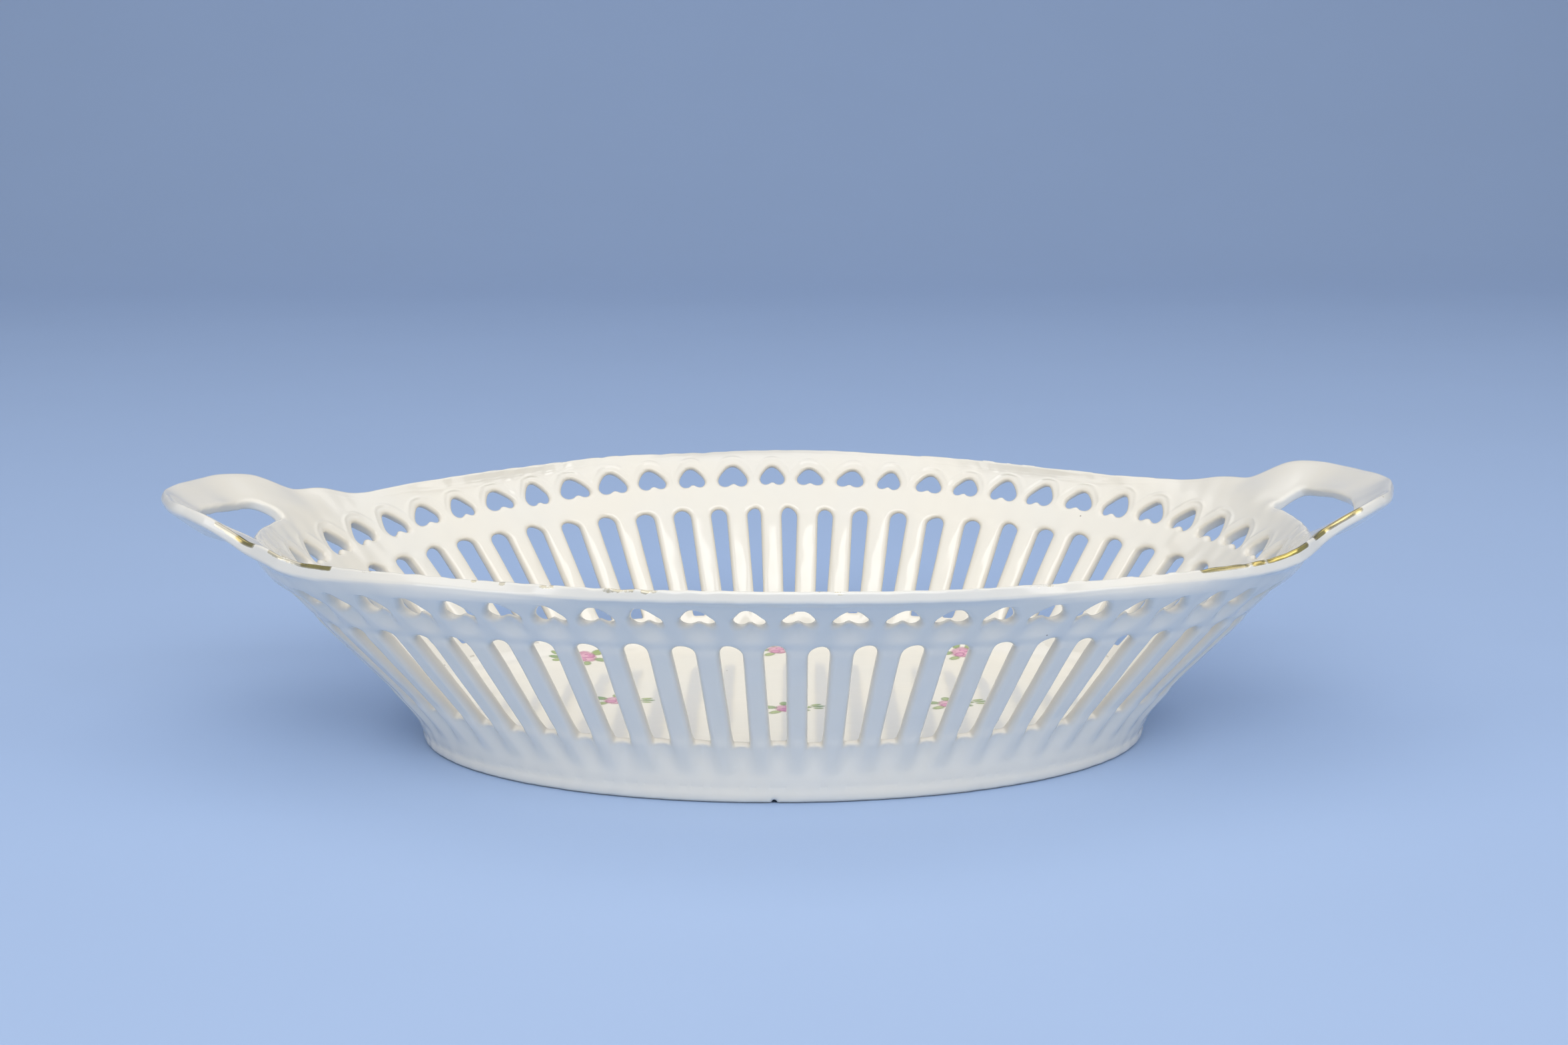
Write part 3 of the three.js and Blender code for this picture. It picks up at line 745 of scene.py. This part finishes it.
scallop = 1.6 + 0.28 * np.abs(np.sin(np.pi * shares * openings * 2.3))
rimLine = bump((edgeDistance - scallop) / 0.4) * (1 - handleness) * smoothStep(acrossGrid, 0.1, 0.3)

halfHere = relief["halfThickness"]
halfHere = halfHere + (rim["halfThickness"] - halfHere) * smoothStep(acrossGrid, 0, 0.6)
halfHere = halfHere + (handle["halfThickness"] - halfHere) * handleness
outerFace = (
    halfHere
    + relief["staveOutside"] * (1 - acrossStave**6) * inStaves
    + relief["rib"] * ribs
    - relief["channel"] * channel
    - relief["crease"] * crease
    - relief["headScoop"] * headScoop
    - relief["heartScoop"] * underHeart
    + relief["endFill"] * endFill * (1 - handleness)
    + relief["cove"] * nearEnd * bump((heightOnWall - wallTop) / 6)
    + lumps(3, relief["lumps"] * 0.6)
)
innerFace = (
    halfHere
    + relief["staveInside"] * (staveCrown - 0.5 * inStaves)
    + relief["bead"] * beadLine
    - relief["bead"] * 0.3 * beadInside
    + relief["rimLine"] * rimLine
    + lumps(4, relief["lumps"]) * (1 - 0.7 * handleness)
)

# finger gaps, lip, rim edge and foot

# Distance into a loop that is closed across the bowl, on the right side only.
def insideLoop(x, y, loop):
    ring = np.vstack([loop[:, :2], [[60, loop[-1, 1]], [60, loop[0, 1]]]])
    return insideRing(x, y, np.vstack([ring[::4], ring[-2:], ring[:1]]))


def fingerGaps():
    field, box = np.full(heightOnWall.shape, -farAway), handle["gapBox"]
    halfLength, halfWidth = stations[-1][:2]
    for side, way in (("right", 1), ("left", -1)):
        x, y = middle[..., 0] * way, middle[..., 1]
        near = (x > box["past"]) & (np.abs(y) < box["within"]) & (heightOnWall > box["above"])
        inLoop = insideLoop(x[near], y[near], innerLoops[side])
        rho = np.hypot(x[near] / halfLength, y[near] / halfWidth)
        slope = np.hypot(x[near] / halfLength**2, y[near] / halfWidth**2) / rho
        pastLip = (rho - 1) / slope
        a, b, r = inLoop, pastLip, handle["gapRadius"]
        field[near] = np.maximum(r, np.minimum(a, b)) - np.hypot(np.maximum(r - a, 0), np.maximum(r - b, 0))
    return field


gap = fingerGaps()
outward = np.where(acrossGrid > 0, np.hypot(normals[..., 0], normals[..., 1]), 0)
cutSlant = outward * (handle["cutSlant"][0] + (handle["cutSlant"][1] - handle["cutSlant"][0]) * handleness)

chip = {"place": (-4.8, -63.4, 0), "radius": 0.7, "dirtRadius": 1}
layerHalf, layerStep = 3.6, 0.4
layers = np.arange(-layerHalf, layerHalf + 0.01, layerStep)
radius = relief["edgeRadius"]
radius = radius + (relief["footRadius"] - radius) * (1 - smoothStep(heightOnWall, 0, 2))
radius = radius + (relief["sillRadius"] - radius) * bump((heightOnWall - sillLevel) / 3)
radius = radius + (rim["edgeRadius"] - radius) * smoothStep(acrossGrid, 0.5, 0.8)
radius = radius + (handle["edgeRadius"] - radius) * handleness

holes = -np.minimum(slotEdge, heartEdge)


# The openings at one layer, moved up or down the wall by their slant.
def holesAt(w):
    slant = relief["cutRise"] * w * smoothStep(levels, headLevel - 5, headLevel - 1)
    row = np.interp(levels - slant, levels, np.arange(wallRows))
    low = np.minimum(row.astype(int), wallRows - 2)
    part = (row - low)[:, None]
    moved = holes.copy()
    moved[:wallRows] = holes[low] * (1 - part) + holes[low + 1] * part
    return moved


nearGap = smoothStep(gap, -4, -1)
radius = radius + (1.0 - radius) * nearGap * (1 - handleness)


def bowlField():
    w = layers[None, None, :]
    a = w - outerFace[..., None]
    b = -w - innerFace[..., None]
    footCut = -(middle[..., 2:3] + w * normals[..., 2:3])
    rimCut = -(edgeDistance[..., None] - w * cutSlant[..., None])
    cuts = np.stack([holesAt(layer) for layer in layers], -1)
    chipPlace = middle + relief["halfThickness"] * normals - np.array(chip["place"])
    chipCut = chip["radius"] - np.linalg.norm(chipPlace, axis=-1)
    cuts = np.maximum(cuts, np.maximum(gap, chipCut)[..., None])
    c = np.maximum(cuts, np.maximum(footCut, rimCut))
    r = radius[..., None]
    corner = np.maximum(a + r, 0) ** 2 + np.maximum(b + r, 0) ** 2 + np.maximum(c + r, 0) ** 2
    return (np.minimum(-r, np.maximum(np.maximum(a, b), c)) + np.sqrt(corner)).astype(np.float32)


# Skin of a field on the grid of rows, columns (which close into a ring) and layers.
def skinOf(field):
    rows, columns, depth = field.shape
    ring = np.concatenate([field, field[:, :1]], axis=1)
    inside = ring < 0
    corners = [(j, i, k) for j in (0, 1) for i in (0, 1) for k in (0, 1)]
    parts = [inside[j:rows - 1 + j, i:columns + i, k:depth - 1 + k] for j, i, k in corners]
    cells = np.argwhere(np.any(parts, 0) & ~np.all(parts, 0))
    j, i, k = cells.T
    total = np.zeros((len(cells), 3))
    count = np.zeros(len(cells))
    for axis in range(3):
        for c in (c for c in corners if c[axis] == 0):
            d = list(c)
            d[axis] = 1
            f0 = ring[j + c[0], i + c[1], k + c[2]].astype(float)
            f1 = ring[j + d[0], i + d[1], k + d[2]].astype(float)
            crossed = (f0 < 0) != (f1 < 0)
            t = np.where(crossed, f0 / np.where(crossed, f0 - f1, 1), 0)
            at = np.array(c, float)[None, :] + 0 * total
            at[:, axis] += t
            total += np.where(crossed[:, None], at, 0)
            count += crossed
    points = cells + total / count[:, None]
    number = np.full((rows - 1, columns, depth - 1), -1, np.int64)
    number[j, i, k] = np.arange(len(cells))
    quads = []
    grid = inside[:, :columns]
    for axis in range(3):
        mask = grid != np.roll(grid, -1, axis)
        # only columns close into a ring, and edges on the outer faces of the grid have no four cells
        for outer in (0, 2):
            sheets = np.moveaxis(mask, outer, 0)
            sheets[-1] = False
            if outer != axis:
                sheets[0] = False
        at = np.argwhere(mask)
        first, second = (a for a in range(3) if a != axis)
        quad = []
        # the four cells round each edge that the skin crosses
        for back in ((0, 0), (1, 0), (1, 1), (0, 1)):
            cell = at.copy()
            cell[:, [first, second]] -= back
            quad.append(number[cell[:, 0], cell[:, 1] % columns, cell[:, 2]])
        quad = np.stack(quad, 1)
        solid = grid[tuple(at.T)]
        turn = solid if axis != 1 else ~solid
        quad[turn] = quad[turn][:, ::-1]
        quads.append(quad)
    return points, np.vstack(quads)


points, quads = skinOf(bowlField())
print("skin:", len(points), "points,", len(quads), "faces")


# Places on the surface for points in rows, columns and layers.
def onSurface(points):
    j = np.clip(points[:, 0], 0, rowCount - 1.001)
    i = points[:, 1]
    j0, i0 = np.floor(j).astype(int), np.floor(i).astype(int)
    tj, ti = (j - j0)[:, None], (i - i0)[:, None]
    i1 = (i0 + 1) % columnCount
    i0 = i0 % columnCount

    def blend(values):
        low = values[j0, i0] * (1 - ti) + values[j0, i1] * ti
        high = values[j0 + 1, i0] * (1 - ti) + values[j0 + 1, i1] * ti
        return low * (1 - tj) + high * tj
    w = (points[:, 2] * layerStep - layerHalf)[:, None]
    return blend(middle) + w * blend(normals), blend


# Evens out the steps that the grid leaves, without shrinking what is round.
def evened(world, passes=2):
    count = np.zeros(len(world))
    for c in range(4):
        np.add.at(count, quads[:, c], 2)
    for turn in range(2 * passes):
        total = np.zeros_like(world)
        for c in range(4):
            np.add.at(total, quads[:, c], world[quads[:, (c + 1) % 4]] + world[quads[:, (c + 3) % 4]])
        world = world + (0.5 if turn % 2 == 0 else -0.52) * (total / count[:, None] - world)
    return world


world, blendAt = onSurface(points)
world = evened(world)
normalOf = np.cross(world[quads[:, 2]] - world[quads[:, 0]], world[quads[:, 3]] - world[quads[:, 1]])
vertexNormals = np.zeros_like(world)
for c in range(4):
    np.add.at(vertexNormals, quads[:, c], normalOf)
vertexNormals /= np.maximum(np.linalg.norm(vertexNormals, axis=1, keepdims=True), 1e-12)
print("skin placed")


# pieces, each where its solid is: splits of the wall by distance from sills, slot heads and hearts,
# and the strip of lip at each end that belongs to the heart gallery
splits = {"underSills": 1.2, "overHeads": 1.5, "underHearts": 4.2, "lipWidth": 1.8, "lipInset": 0.5}
splitLevels = (
    -math.inf, 0, sillLevel - splits["underSills"], headLevel + splits["overHeads"],
    heartLevel - splits["underHearts"], wallTop,
)
bands = {
    "footRing": "foot_ring",
    "lowerBand": "lower_band",
    "slottedWall": "slotted_wall",
    "middleBand": "middle_band",
    "heartGallery": "heart_gallery",
}

centre = world[quads].mean(1)
quadRow = points[quads][:, :, 0].mean(1)
# columns near the start of the ring join its end
spread = points[quads][:, :, 1]
spread = np.where(spread - spread.min(1, keepdims=True) > columnCount / 2, spread - columnCount, spread)
quadColumn = spread.mean(1) % columnCount
quadLevel = np.interp(quadRow, np.arange(wallRows), levels)
quadPitch = quadColumn / bowl["columnsPerPitch"]
quadGapLip = np.linalg.norm(centre[:, :2] / (stations[-1][:2] + splits["lipWidth"]), axis=1) < 1
onFlange = quadRow > wallRows - 1
nearTip = onFlange & (pitchesFromSide(quadPitch) > bowl["rimRun"])
atLip = nearTip & quadGapLip & (np.abs(centre[:, 1]) < abs(innerRoot[1]) - splits["lipInset"])
onHandle = nearTip & ~atLip
onRim = onFlange & ~onHandle & ~atLip


def makePiece(name, nodes, faces, finish):
    used = np.unique(faces)
    fresh = np.full(len(world), -1)
    fresh[used] = np.arange(len(used))
    here = {label: values[used].astype(np.float32) for label, values in paint.items()}
    piece = addMesh(name, world[used], fresh[faces].tolist(), finish, here)
    piece.data.normals_split_custom_set_from_vertices(vertexNormals[used].tolist())
    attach(piece, "root")
    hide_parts(*nodes)


# shader maths on sockets
class Flow:
    # a socket that takes part in plain sums
    def __init__(self, finish, socket):
        self.finish = finish
        self.socket = socket

    def sum(self, operation, *values):
        return self.finish.node("ShaderNodeMath", {"operation": operation}, values)

    def __add__(self, other):
        return self.sum("ADD", self, other)

    def __sub__(self, other):
        return self.sum("SUBTRACT", self, other)

    def __rsub__(self, other):
        return self.sum("SUBTRACT", other, self)

    def __mul__(self, other):
        return self.sum("MULTIPLY", self, other)

    def clamped(self):
        return self.finish.node("ShaderNodeClamp", {}, (self, 0, 1))

    def twin(self, name):
        # another output of the same node
        return Flow(self.finish, self.socket.node.outputs[name])

    def above(self, low, high):
        values = (self, low, high, 0, 1)
        return self.finish.node("ShaderNodeMapRange", {"interpolation_type": "SMOOTHSTEP"}, values)

    def larger(self, other):
        return self.sum("MAXIMUM", self, other)


class Finish:
    # one material, or the world, and its nodes
    def __init__(self, name, world=None):
        self.material = world or bpy.data.materials.new(name)
        self.material.use_nodes = True
        self.nodes = self.material.node_tree.nodes
        self.links = self.material.node_tree.links
        self.shader = self.nodes.get("Principled BSDF")

    def node(self, kind, settings, values, output=0):
        made = self.nodes.new(kind)
        for name, value in settings.items():
            setattr(made, name, value)
        pairs = values.items() if isinstance(values, dict) else enumerate(values)
        for key, value in pairs:
            self.feed(made.inputs[key], value)
        return Flow(self, made.outputs[output])

    def feed(self, socket, value):
        if isinstance(value, Flow):
            self.links.new(value.socket, socket)
        elif isinstance(value, (tuple, list)) and socket.type == "RGBA":
            socket.default_value = (*value[:3], 1)
        else:
            socket.default_value = value

    def attribute(self, name):
        return self.node("ShaderNodeAttribute", {"attribute_name": name}, {}, "Fac")

    def place(self):
        return self.node("ShaderNodeTexCoord", {}, {}, "Object")

    def noise(self, where, scale, detail=3, roughness=0.5):
        values = {"Vector": where, "Scale": scale, "Detail": detail, "Roughness": roughness}
        return self.node("ShaderNodeTexNoise", {}, values)

    def mix(self, share, first, second):
        values = {0: share, 6: first, 7: second}
        return self.node("ShaderNodeMix", {"data_type": "RGBA"}, values, 2)

    def set(self, values):
        for name, value in values.items():
            self.feed(self.shader.inputs[name], value)


glaze = {
    "colour": (0.86, 0.82, 0.73),
    # tint of the painted shade on the walls of the openings
    "holeShadeTint": (0.8, 0.745, 0.64),
    "cool": (0.8, 0.8, 0.77),
    "roughness": 0.09,
    "bare": (0.66, 0.6, 0.5),
    # how far from an opening the painted shade on its walls reaches, and the heights over which the foot's edge
    # gets its glaze
    "holeShadeReach": 1.3,
    "bareHeights": (0.25, 0.6),
    "speck": (0.2, 0.15, 0.1),
    "gold": (0.6, 0.45, 0.13),
    "wornGold": (0.42, 0.32, 0.12),
    # scales of the patterns, to the metre
    "cloudScale": 28,
    "grainScale": 900,
    "speckScale": 140,
    "wearScale": 420,
    "patchScale": 90,
    "rippleScale": 130,
    "rippleStrength": 0.06,
    "refraction": 1.52,
}


def porcelainFinish(name):
    finish = Finish(name)
    where = finish.place()
    cloud = finish.noise(where, glaze["cloudScale"], 3)
    colour = finish.mix(cloud.above(0.35, 0.7) * 0.35, glaze["colour"], glaze["cool"])
    # warm painted shade on the walls of the openings, a darker tint standing in for the light bounced inside
    # them
    holeShade = finish.attribute("holeShade")
    colour = finish.mix(holeShade * 0.8, colour, glaze["holeShadeTint"])
    grain = finish.noise(where, glaze["grainScale"], 1)
    # one small round speck in a few of the cells
    cells = {"Vector": where, "Scale": glaze["speckScale"], "Randomness": 1}
    dots = finish.node("ShaderNodeTexVoronoi", {}, cells, "Distance")
    chosen = finish.node("ShaderNodeSeparateColor", {}, (dots.twin("Color"),))
    speck = (1 - dots.above(0.03, 0.05)) * chosen.above(0.955, 0.96)
    colour = finish.mix(speck * 0.75, colour, glaze["speck"])
    bare = finish.attribute("bare")
    colour = finish.mix(bare, colour, glaze["bare"])
    colour = finish.mix(finish.attribute("dirt"), colour, glaze["speck"])
    # worn gilding: patches along the edges, broken up where hands have rubbed them
    patch = finish.attribute("gilding")
    fine = finish.noise(where, glaze["wearScale"], 4, 0.65)
    broad = finish.noise(where, glaze["patchScale"], 2)
    worn = (patch * 1.2 + (fine - 0.5) * 0.9 + (broad - 0.5) * 0.6).above(0.42, 0.56) * patch.above(0.05, 0.15)
    # weak patches are rubbed thin
    worn = worn * (patch.above(0.45, 0.85) * 0.5 + 0.5)
    tint = finish.mix(broad.above(0.4, 0.6), glaze["gold"], glaze["wornGold"])
    colour = finish.mix(worn, colour, tint)
    height = finish.noise(where, glaze["rippleScale"], 2) + grain * 0.04 + worn * 0.3
    bumped = {"Strength": glaze["rippleStrength"], "Distance": millimetre, "Height": height}
    finish.set({
        "Base Color": colour,
        "Metallic": worn * 0.85,
        "Roughness": (cloud * 0.05 + glaze["roughness"] - 0.02 + bare * 0.5 + worn * 0.12).clamped(),
        "IOR": glaze["refraction"],
        "Normal": finish.node("ShaderNodeBump", {}, bumped, "Normal"),
    })
    return finish.material


# where the gilding is left: pitches from and to, strength and way in from the edge
gilding = {
    # how far a patch fades past its ends, and how far before them it starts to
    "past": 0.12,
    "before": 0.05,
    "patches": (
        (41.1, 41.4, 0.5, 0.5), (40.7, 41.1, 0.9, 1), (39.4, 40.3, 0.5, 0.4), (38.6, 39.4, 0.9, 0.9),
        (37.5, 38.6, 0.35, 0.6), (35.2, 35.3, 0.5, 0.6), (34.6, 34.7, 0.5, 0.6), (33.5, 34, 0.4, 0.6),
        (31.6, 32.6, 0.45, 0.6), (28.1, 28.7, 0.4, 0.6), (24, 24.6, 0.3, 0.5), (19.3, 20.5, 0.75, 0.8),
        (18.9, 19.2, 1, 1.2), (17.7, 18.8, 1.1, 2), (17, 17.35, 1.1, 2.2), (16.45, 17, 0.75, 0.5),
        (15.8, 16, 0.4, 0.6),
    ),
}


def vertexPaint():
    column = points[:, 1] % columnCount
    place = column / bowl["columnsPerPitch"]
    w = points[:, 2] * layerStep - layerHalf
    edgeAway = blendAt(edgeDistance[..., None])[:, 0]
    onTop = smoothStep(-w, -0.1, 0.4)
    gild = np.zeros(len(points))
    for start, end, strength, reach in gilding["patches"]:
        along = smoothStep(place, start - gilding["past"], start + gilding["before"])
        along = along * (1 - smoothStep(place, end - gilding["before"], end + gilding["past"]))
        inward = 1 - smoothStep(edgeAway, 0.6 * reach, reach + 0.3)
        gild = np.maximum(gild, strength * along * onTop * inward)
    # painted shade: a warm darker tint that fades out a little way from each opening's edge
    hole = np.minimum(blendAt(slotEdge[..., None])[:, 0], blendAt(heartEdge[..., None])[:, 0])
    holeShade = 1 - smoothStep(np.abs(hole), 0, glaze["holeShadeReach"])
    bare = 1 - smoothStep(world[:, 2], *glaze["bareHeights"])
    fromChip = np.linalg.norm(world - np.array(chip["place"]), axis=1)
    dirt = 1 - smoothStep(fromChip, chip["radius"], chip["dirtRadius"])
    return {"gilding": gild, "holeShade": holeShade, "bare": bare, "dirt": dirt}


paint = vertexPaint()
porcelain = porcelainFinish("whiteGlaze")
for (name, node), low, high in zip(bands.items(), splitLevels, splitLevels[1:]):
    inBand = (quadLevel > low) & (quadLevel <= high) & ~onFlange
    slotName = "foot_porcelain" if node == "foot_ring" else "porcelain"
    if node == "heart_gallery":
        inBand |= atLip
    if node in ("slotted_wall", "heart_gallery"):
        for side, half in (("Back", centre[:, 1] > 0), ("Front", centre[:, 1] <= 0)):
            makePiece(name + side, [node], quads[inBand & half], porcelain)
    else:
        makePiece(name, [node], quads[inBand], porcelain)
for name, node, chosen in (
    ("rimBack", "rim_back", onRim & (centre[:, 1] > 0)),
    ("rimFront", "rim_front", onRim & (centre[:, 1] <= 0)),
    ("handleRight", "handle_right", onHandle & (centre[:, 0] > 0)),
    ("handleLeft", "handle_left", onHandle & (centre[:, 0] <= 0)),
):
    makePiece(name, [node], quads[chosen], porcelain)
print("porcelain pieces made")


# floor of the bowl, coved into the wall
bowlFloor = {
    "topHeight": 7.5,
    "dish": 0.8,
    "underHeight": 3.5,
    "cove": 13,
    "coveTop": 12.5,
    "underCove": 3,
    "underTop": 1.6,
    # how far its edge goes into the wall
    "sunk": 0.05,
    # levels up the wall where the edge is looked for
    "edgeLevels": (-4, 16, 201),
    "rings": 44,
    "underRings": 14,
    "coveSteps": 12,
    "columns": 464,
}


# Line round the inside of the wall at a height.
def innerFaceAt(z, ringShares):
    mid = wallPoints(np.linspace(*bowlFloor["edgeLevels"]), ringShares)
    inner = mid - (relief["halfThickness"] - bowlFloor["sunk"]) * stepsAndNormals(mid)[2]
    return np.stack([
        [np.interp(z, inner[:, c, 2], inner[:, c, axis]) for c in range(len(ringShares))]
        for axis in (0, 1)
    ], -1)


def makeFloor(setup, finish):
    ringShares = np.arange(setup["columns"]) / setup["columns"]
    rings = []

    def cove(level, endHeight, inset):
        corner = innerFaceAt(level, ringShares)
        far = innerFaceAt(endHeight, ringShares)
        length = np.linalg.norm(corner, axis=1, keepdims=True)
        start = corner * (1 - inset / length)
        path = []
        for t in np.linspace(0, 1, setup["coveSteps"]):
            flat = (1 - t) ** 2 * start + 2 * t * (1 - t) * corner + t**2 * far
            z = (1 - t) ** 2 * level + 2 * t * (1 - t) * level + t**2 * endHeight
            path.append(np.c_[flat, np.full(len(flat), z)])
        return start, path

    start, topCove = cove(setup["topHeight"], setup["coveTop"], setup["cove"])
    for r in np.linspace(0, 1, setup["rings"])[1:-1]:
        z = setup["topHeight"] - setup["dish"] * (1 - r * r)
        rings.append(np.c_[start * r, np.full(len(start), z)])
    rings += topCove
    underStart, underCove = cove(setup["underHeight"], setup["underTop"], setup["underCove"])
    rings += underCove[::-1]
    for r in np.linspace(1, 0, setup["underRings"])[1:-1]:
        rings.append(np.c_[underStart * r, np.full(len(underStart), setup["underHeight"])])
    n = setup["columns"]
    vertices = np.vstack(rings + [[[0, 0, setup["topHeight"] - setup["dish"]]], [[0, 0, setup["underHeight"]]]])
    faces = ringFaces(len(rings), n)
    last = (len(rings) - 1) * n
    for c in range(n):
        d = (c + 1) % n
        faces.append((len(vertices) - 2, c, d))
        faces.append((last + c, len(vertices) - 1, last + d))
    piece = addMesh("bowlFloor", vertices, faces, finish)
    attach(piece, "root")
    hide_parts("floor_plate")
    return piece


floorPiece = makeFloor(bowlFloor, porcelainFinish("floorGlaze"))
print("floor made")


# painted roses scattered on the floor, laid on it as thin enamel
sprigs = {
    "pink": (0.78, 0.44, 0.56),
    "deepPink": (0.62, 0.2, 0.42),
    "green": (0.42, 0.5, 0.2),
    "deepGreen": (0.22, 0.37, 0.2),
    "roughness": 0.12,
    # middle and turn of each sprig
    "places": (
        (0, 51.5, 20), (0.2, -5, 10), (-53, 44, 190), (-44, 3.5, 0), (51, 45, 20), (42.4, -3, 10),
    ),
    # spots of each sprig: away along and across, half sizes, turn, green or not, depth of the colour
    "spots": (
        (0, 0, 3, 3.6, 0, 0, 0), (-0.9, -0.8, 1.7, 1.5, 30, 0, 0.7), (1.2, 0.9, 1.5, 1.1, 120, 0, 0.5),
        (0.4, -2.4, 1.5, 0.8, 10, 0, 0.3), (-1.5, 1.5, 1, 0.7, 60, 0, 0.15),
        (3.9, 2, 2.5, 1.6, 30, 1, 0.3), (3.7, -2.2, 2.4, 1.5, -30, 1, 0.8), (5.4, 0, 1.7, 1.1, 5, 1, 0.5),
        (-3.9, 2.1, 2.3, 1.6, 150, 1, 0.6), (-3.4, -2.8, 2.2, 1.4, 215, 1, 0.2), (0.5, 4.6, 2, 1.3, 80, 1, 0.4),
        (8.3, 1.7, 1.7, 0.8, 12, 1, 0.2), (8.6, 0.1, 2, 0.8, 0, 1, 0.6), (8.3, -1.6, 1.5, 0.7, -12, 1, 0.3),
    ),
    "lift": 0.04,
    # height that the spots drop from, and points round each
    "dropFrom": 30,
    "points": 14,
}


def enamelFinish(setup):
    finish = Finish("roseEnamel")
    leaf, depth = finish.attribute("leaf"), finish.attribute("depth")
    petal = finish.mix(depth, setup["pink"], setup["deepPink"])
    colour = finish.mix(leaf, petal, finish.mix(depth, setup["green"], setup["deepGreen"]))
    finish.set({"Base Color": colour, "Roughness": setup["roughness"], "Alpha": finish.attribute("cover")})
    return finish.material


def makeSprigs(setup, carrier):
    vertices, faces = [], []
    values = {"leaf": [], "depth": [], "cover": []}
    for x, y, turn in setup["places"]:
        for along, across, long, wide, spotTurn, leaf, depth in setup["spots"]:
            count = setup["points"]
            ring = [(0, 0)] + [(r, a) for r in (0.5, 1) for a in np.arange(count) / count * 2 * math.pi]
            a, b = math.radians(turn), math.radians(turn + spotTurn)
            cx = x + along * math.cos(a) - across * math.sin(a)
            cy = y + along * math.sin(a) + across * math.cos(a)
            spot = []
            for r, angle in ring:
                u, v = r * long * math.cos(angle), r * wide * math.sin(angle)
                px, py = cx + u * math.cos(b) - v * math.sin(b), cy + u * math.sin(b) + v * math.cos(b)
                start = Vector((px, py, setup["dropFrom"])) * millimetre
                hit, place, _, _ = carrier.ray_cast(start, Vector((0, 0, -1)))
                if hit:
                    # darker strokes lie on top of the pale ones
                    spot.append(place / millimetre + Vector((0, 0, setup["lift"])) * (1 + 0.3 * (depth > 0.3)))
            if len(spot) < len(ring):
                continue
            first = len(vertices)
            vertices += [tuple(p) for p in spot]
            values["leaf"] += [float(leaf)] * len(spot)
            values["depth"] += [depth] * len(spot)
            values["cover"] += [0.95 if r < 0.9 else 0.25 for r, _ in ring]
            faces += [(first, first + 1 + k, first + 1 + (k + 1) % count) for k in range(count)]
            faces += ringFaces(2, count, first + 1)
    piece = addMesh("roseSprigs", vertices, faces, enamelFinish(setup), values)
    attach(piece, "root")
    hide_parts("floor_plate")


makeSprigs(sprigs, floorPiece)
print("sprigs made")


# studio
studio = {
    "floorColour": (0.42, 0.56, 0.82),
    "floorRoughness": 0.6,
    "worldStrength": 0.17,
    "airColour": (1, 0.98, 0.95),
    "beyondColour": (0.3, 0.39, 0.58),
    "reach": 2.6,
    "sweepStart": 1.1,
    "sweepRadius": 0.8,
    "sweepTop": 2.2,
    "sweepSteps": 24,
}
lamps = {
    "overhead": {"place": (0, -0.15, 1.3), "aim": (0, -0.1, 0.03), "size": (2.4, 2.1), "power": 14.3},
    "front": {"place": (0.1, -1.5, 1.25), "aim": (0, 0, 0.04), "size": (1.8, 0.8), "power": 16},
    "right": {"place": (1.3, -0.7, 0.7), "aim": (0, 0, 0.04), "size": (0.5, 0.8), "power": 3},
    "left": {"place": (-1.3, -0.8, 0.6), "aim": (0, 0, 0.04), "size": (0.5, 0.8), "power": 3.2},
}


def makeStudio(setup):
    start, radius = setup["sweepStart"], setup["sweepRadius"]
    turns = np.linspace(0, math.pi / 2, setup["sweepSteps"])
    profile = [(-setup["reach"], 0.0)]
    profile += [(start + radius * math.sin(turn), radius * (1 - math.cos(turn))) for turn in turns]
    profile.append((start + radius, setup["sweepTop"]))
    sides = (-setup["reach"], setup["reach"])
    vertices = np.array([(x, y, z) for y, z in profile for x in sides]) / millimetre
    faces = [(2 * i, 2 * i + 1, 2 * i + 3, 2 * i + 2) for i in range(len(profile) - 1)]
    finish = Finish("palePaper")
    where = finish.place()
    colour = finish.mix(
        finish.noise(where, 9, 2).above(0.3, 0.7) * 0.25,
        setup["floorColour"],
        tuple(c * 0.96 for c in setup["floorColour"]),
    )
    finish.set({"Base Color": colour, "Roughness": setup["floorRoughness"]})
    sweep = addMesh("paperSweep", vertices, faces, finish.material)

    # past the paper the lens and the glaze see its colour, and the light stays low
    bpy.context.scene.world = bpy.data.worlds.new("studioAir")
    air = Finish("studioAir", bpy.context.scene.world)
    plain, paper = (
        air.node("ShaderNodeBackground", {}, {"Color": colour, "Strength": strength})
        for colour, strength in ((setup["airColour"], setup["worldStrength"]), (setup["beyondColour"], 1))
    )
    lens = air.node("ShaderNodeLightPath", {}, {}, "Is Camera Ray")
    seen = air.node("ShaderNodeMixShader", {}, (lens.larger(lens.twin("Is Glossy Ray")), plain, paper))
    air.feed(air.nodes["World Output"].inputs["Surface"], seen)

    for name, lamp in lamps.items():
        light = bpy.data.lights.new(name + "Softbox", "AREA")
        light.shape = "RECTANGLE"
        light.size, light.size_y = lamp["size"]
        light.energy = lamp["power"]
        box = bpy.data.objects.new(name + "Softbox", light)
        box.location = lamp["place"]
        way = Vector(lamp["aim"]) - Vector(lamp["place"])
        box.rotation_mode = "QUATERNION"
        box.rotation_quaternion = way.to_track_quat("-Z", "Y")
        bpy.context.scene.collection.objects.link(box)


makeStudio(studio)
bpy.context.scene.view_settings.view_transform = "Standard"
print("studio set")

bpy.context.view_layer.update()
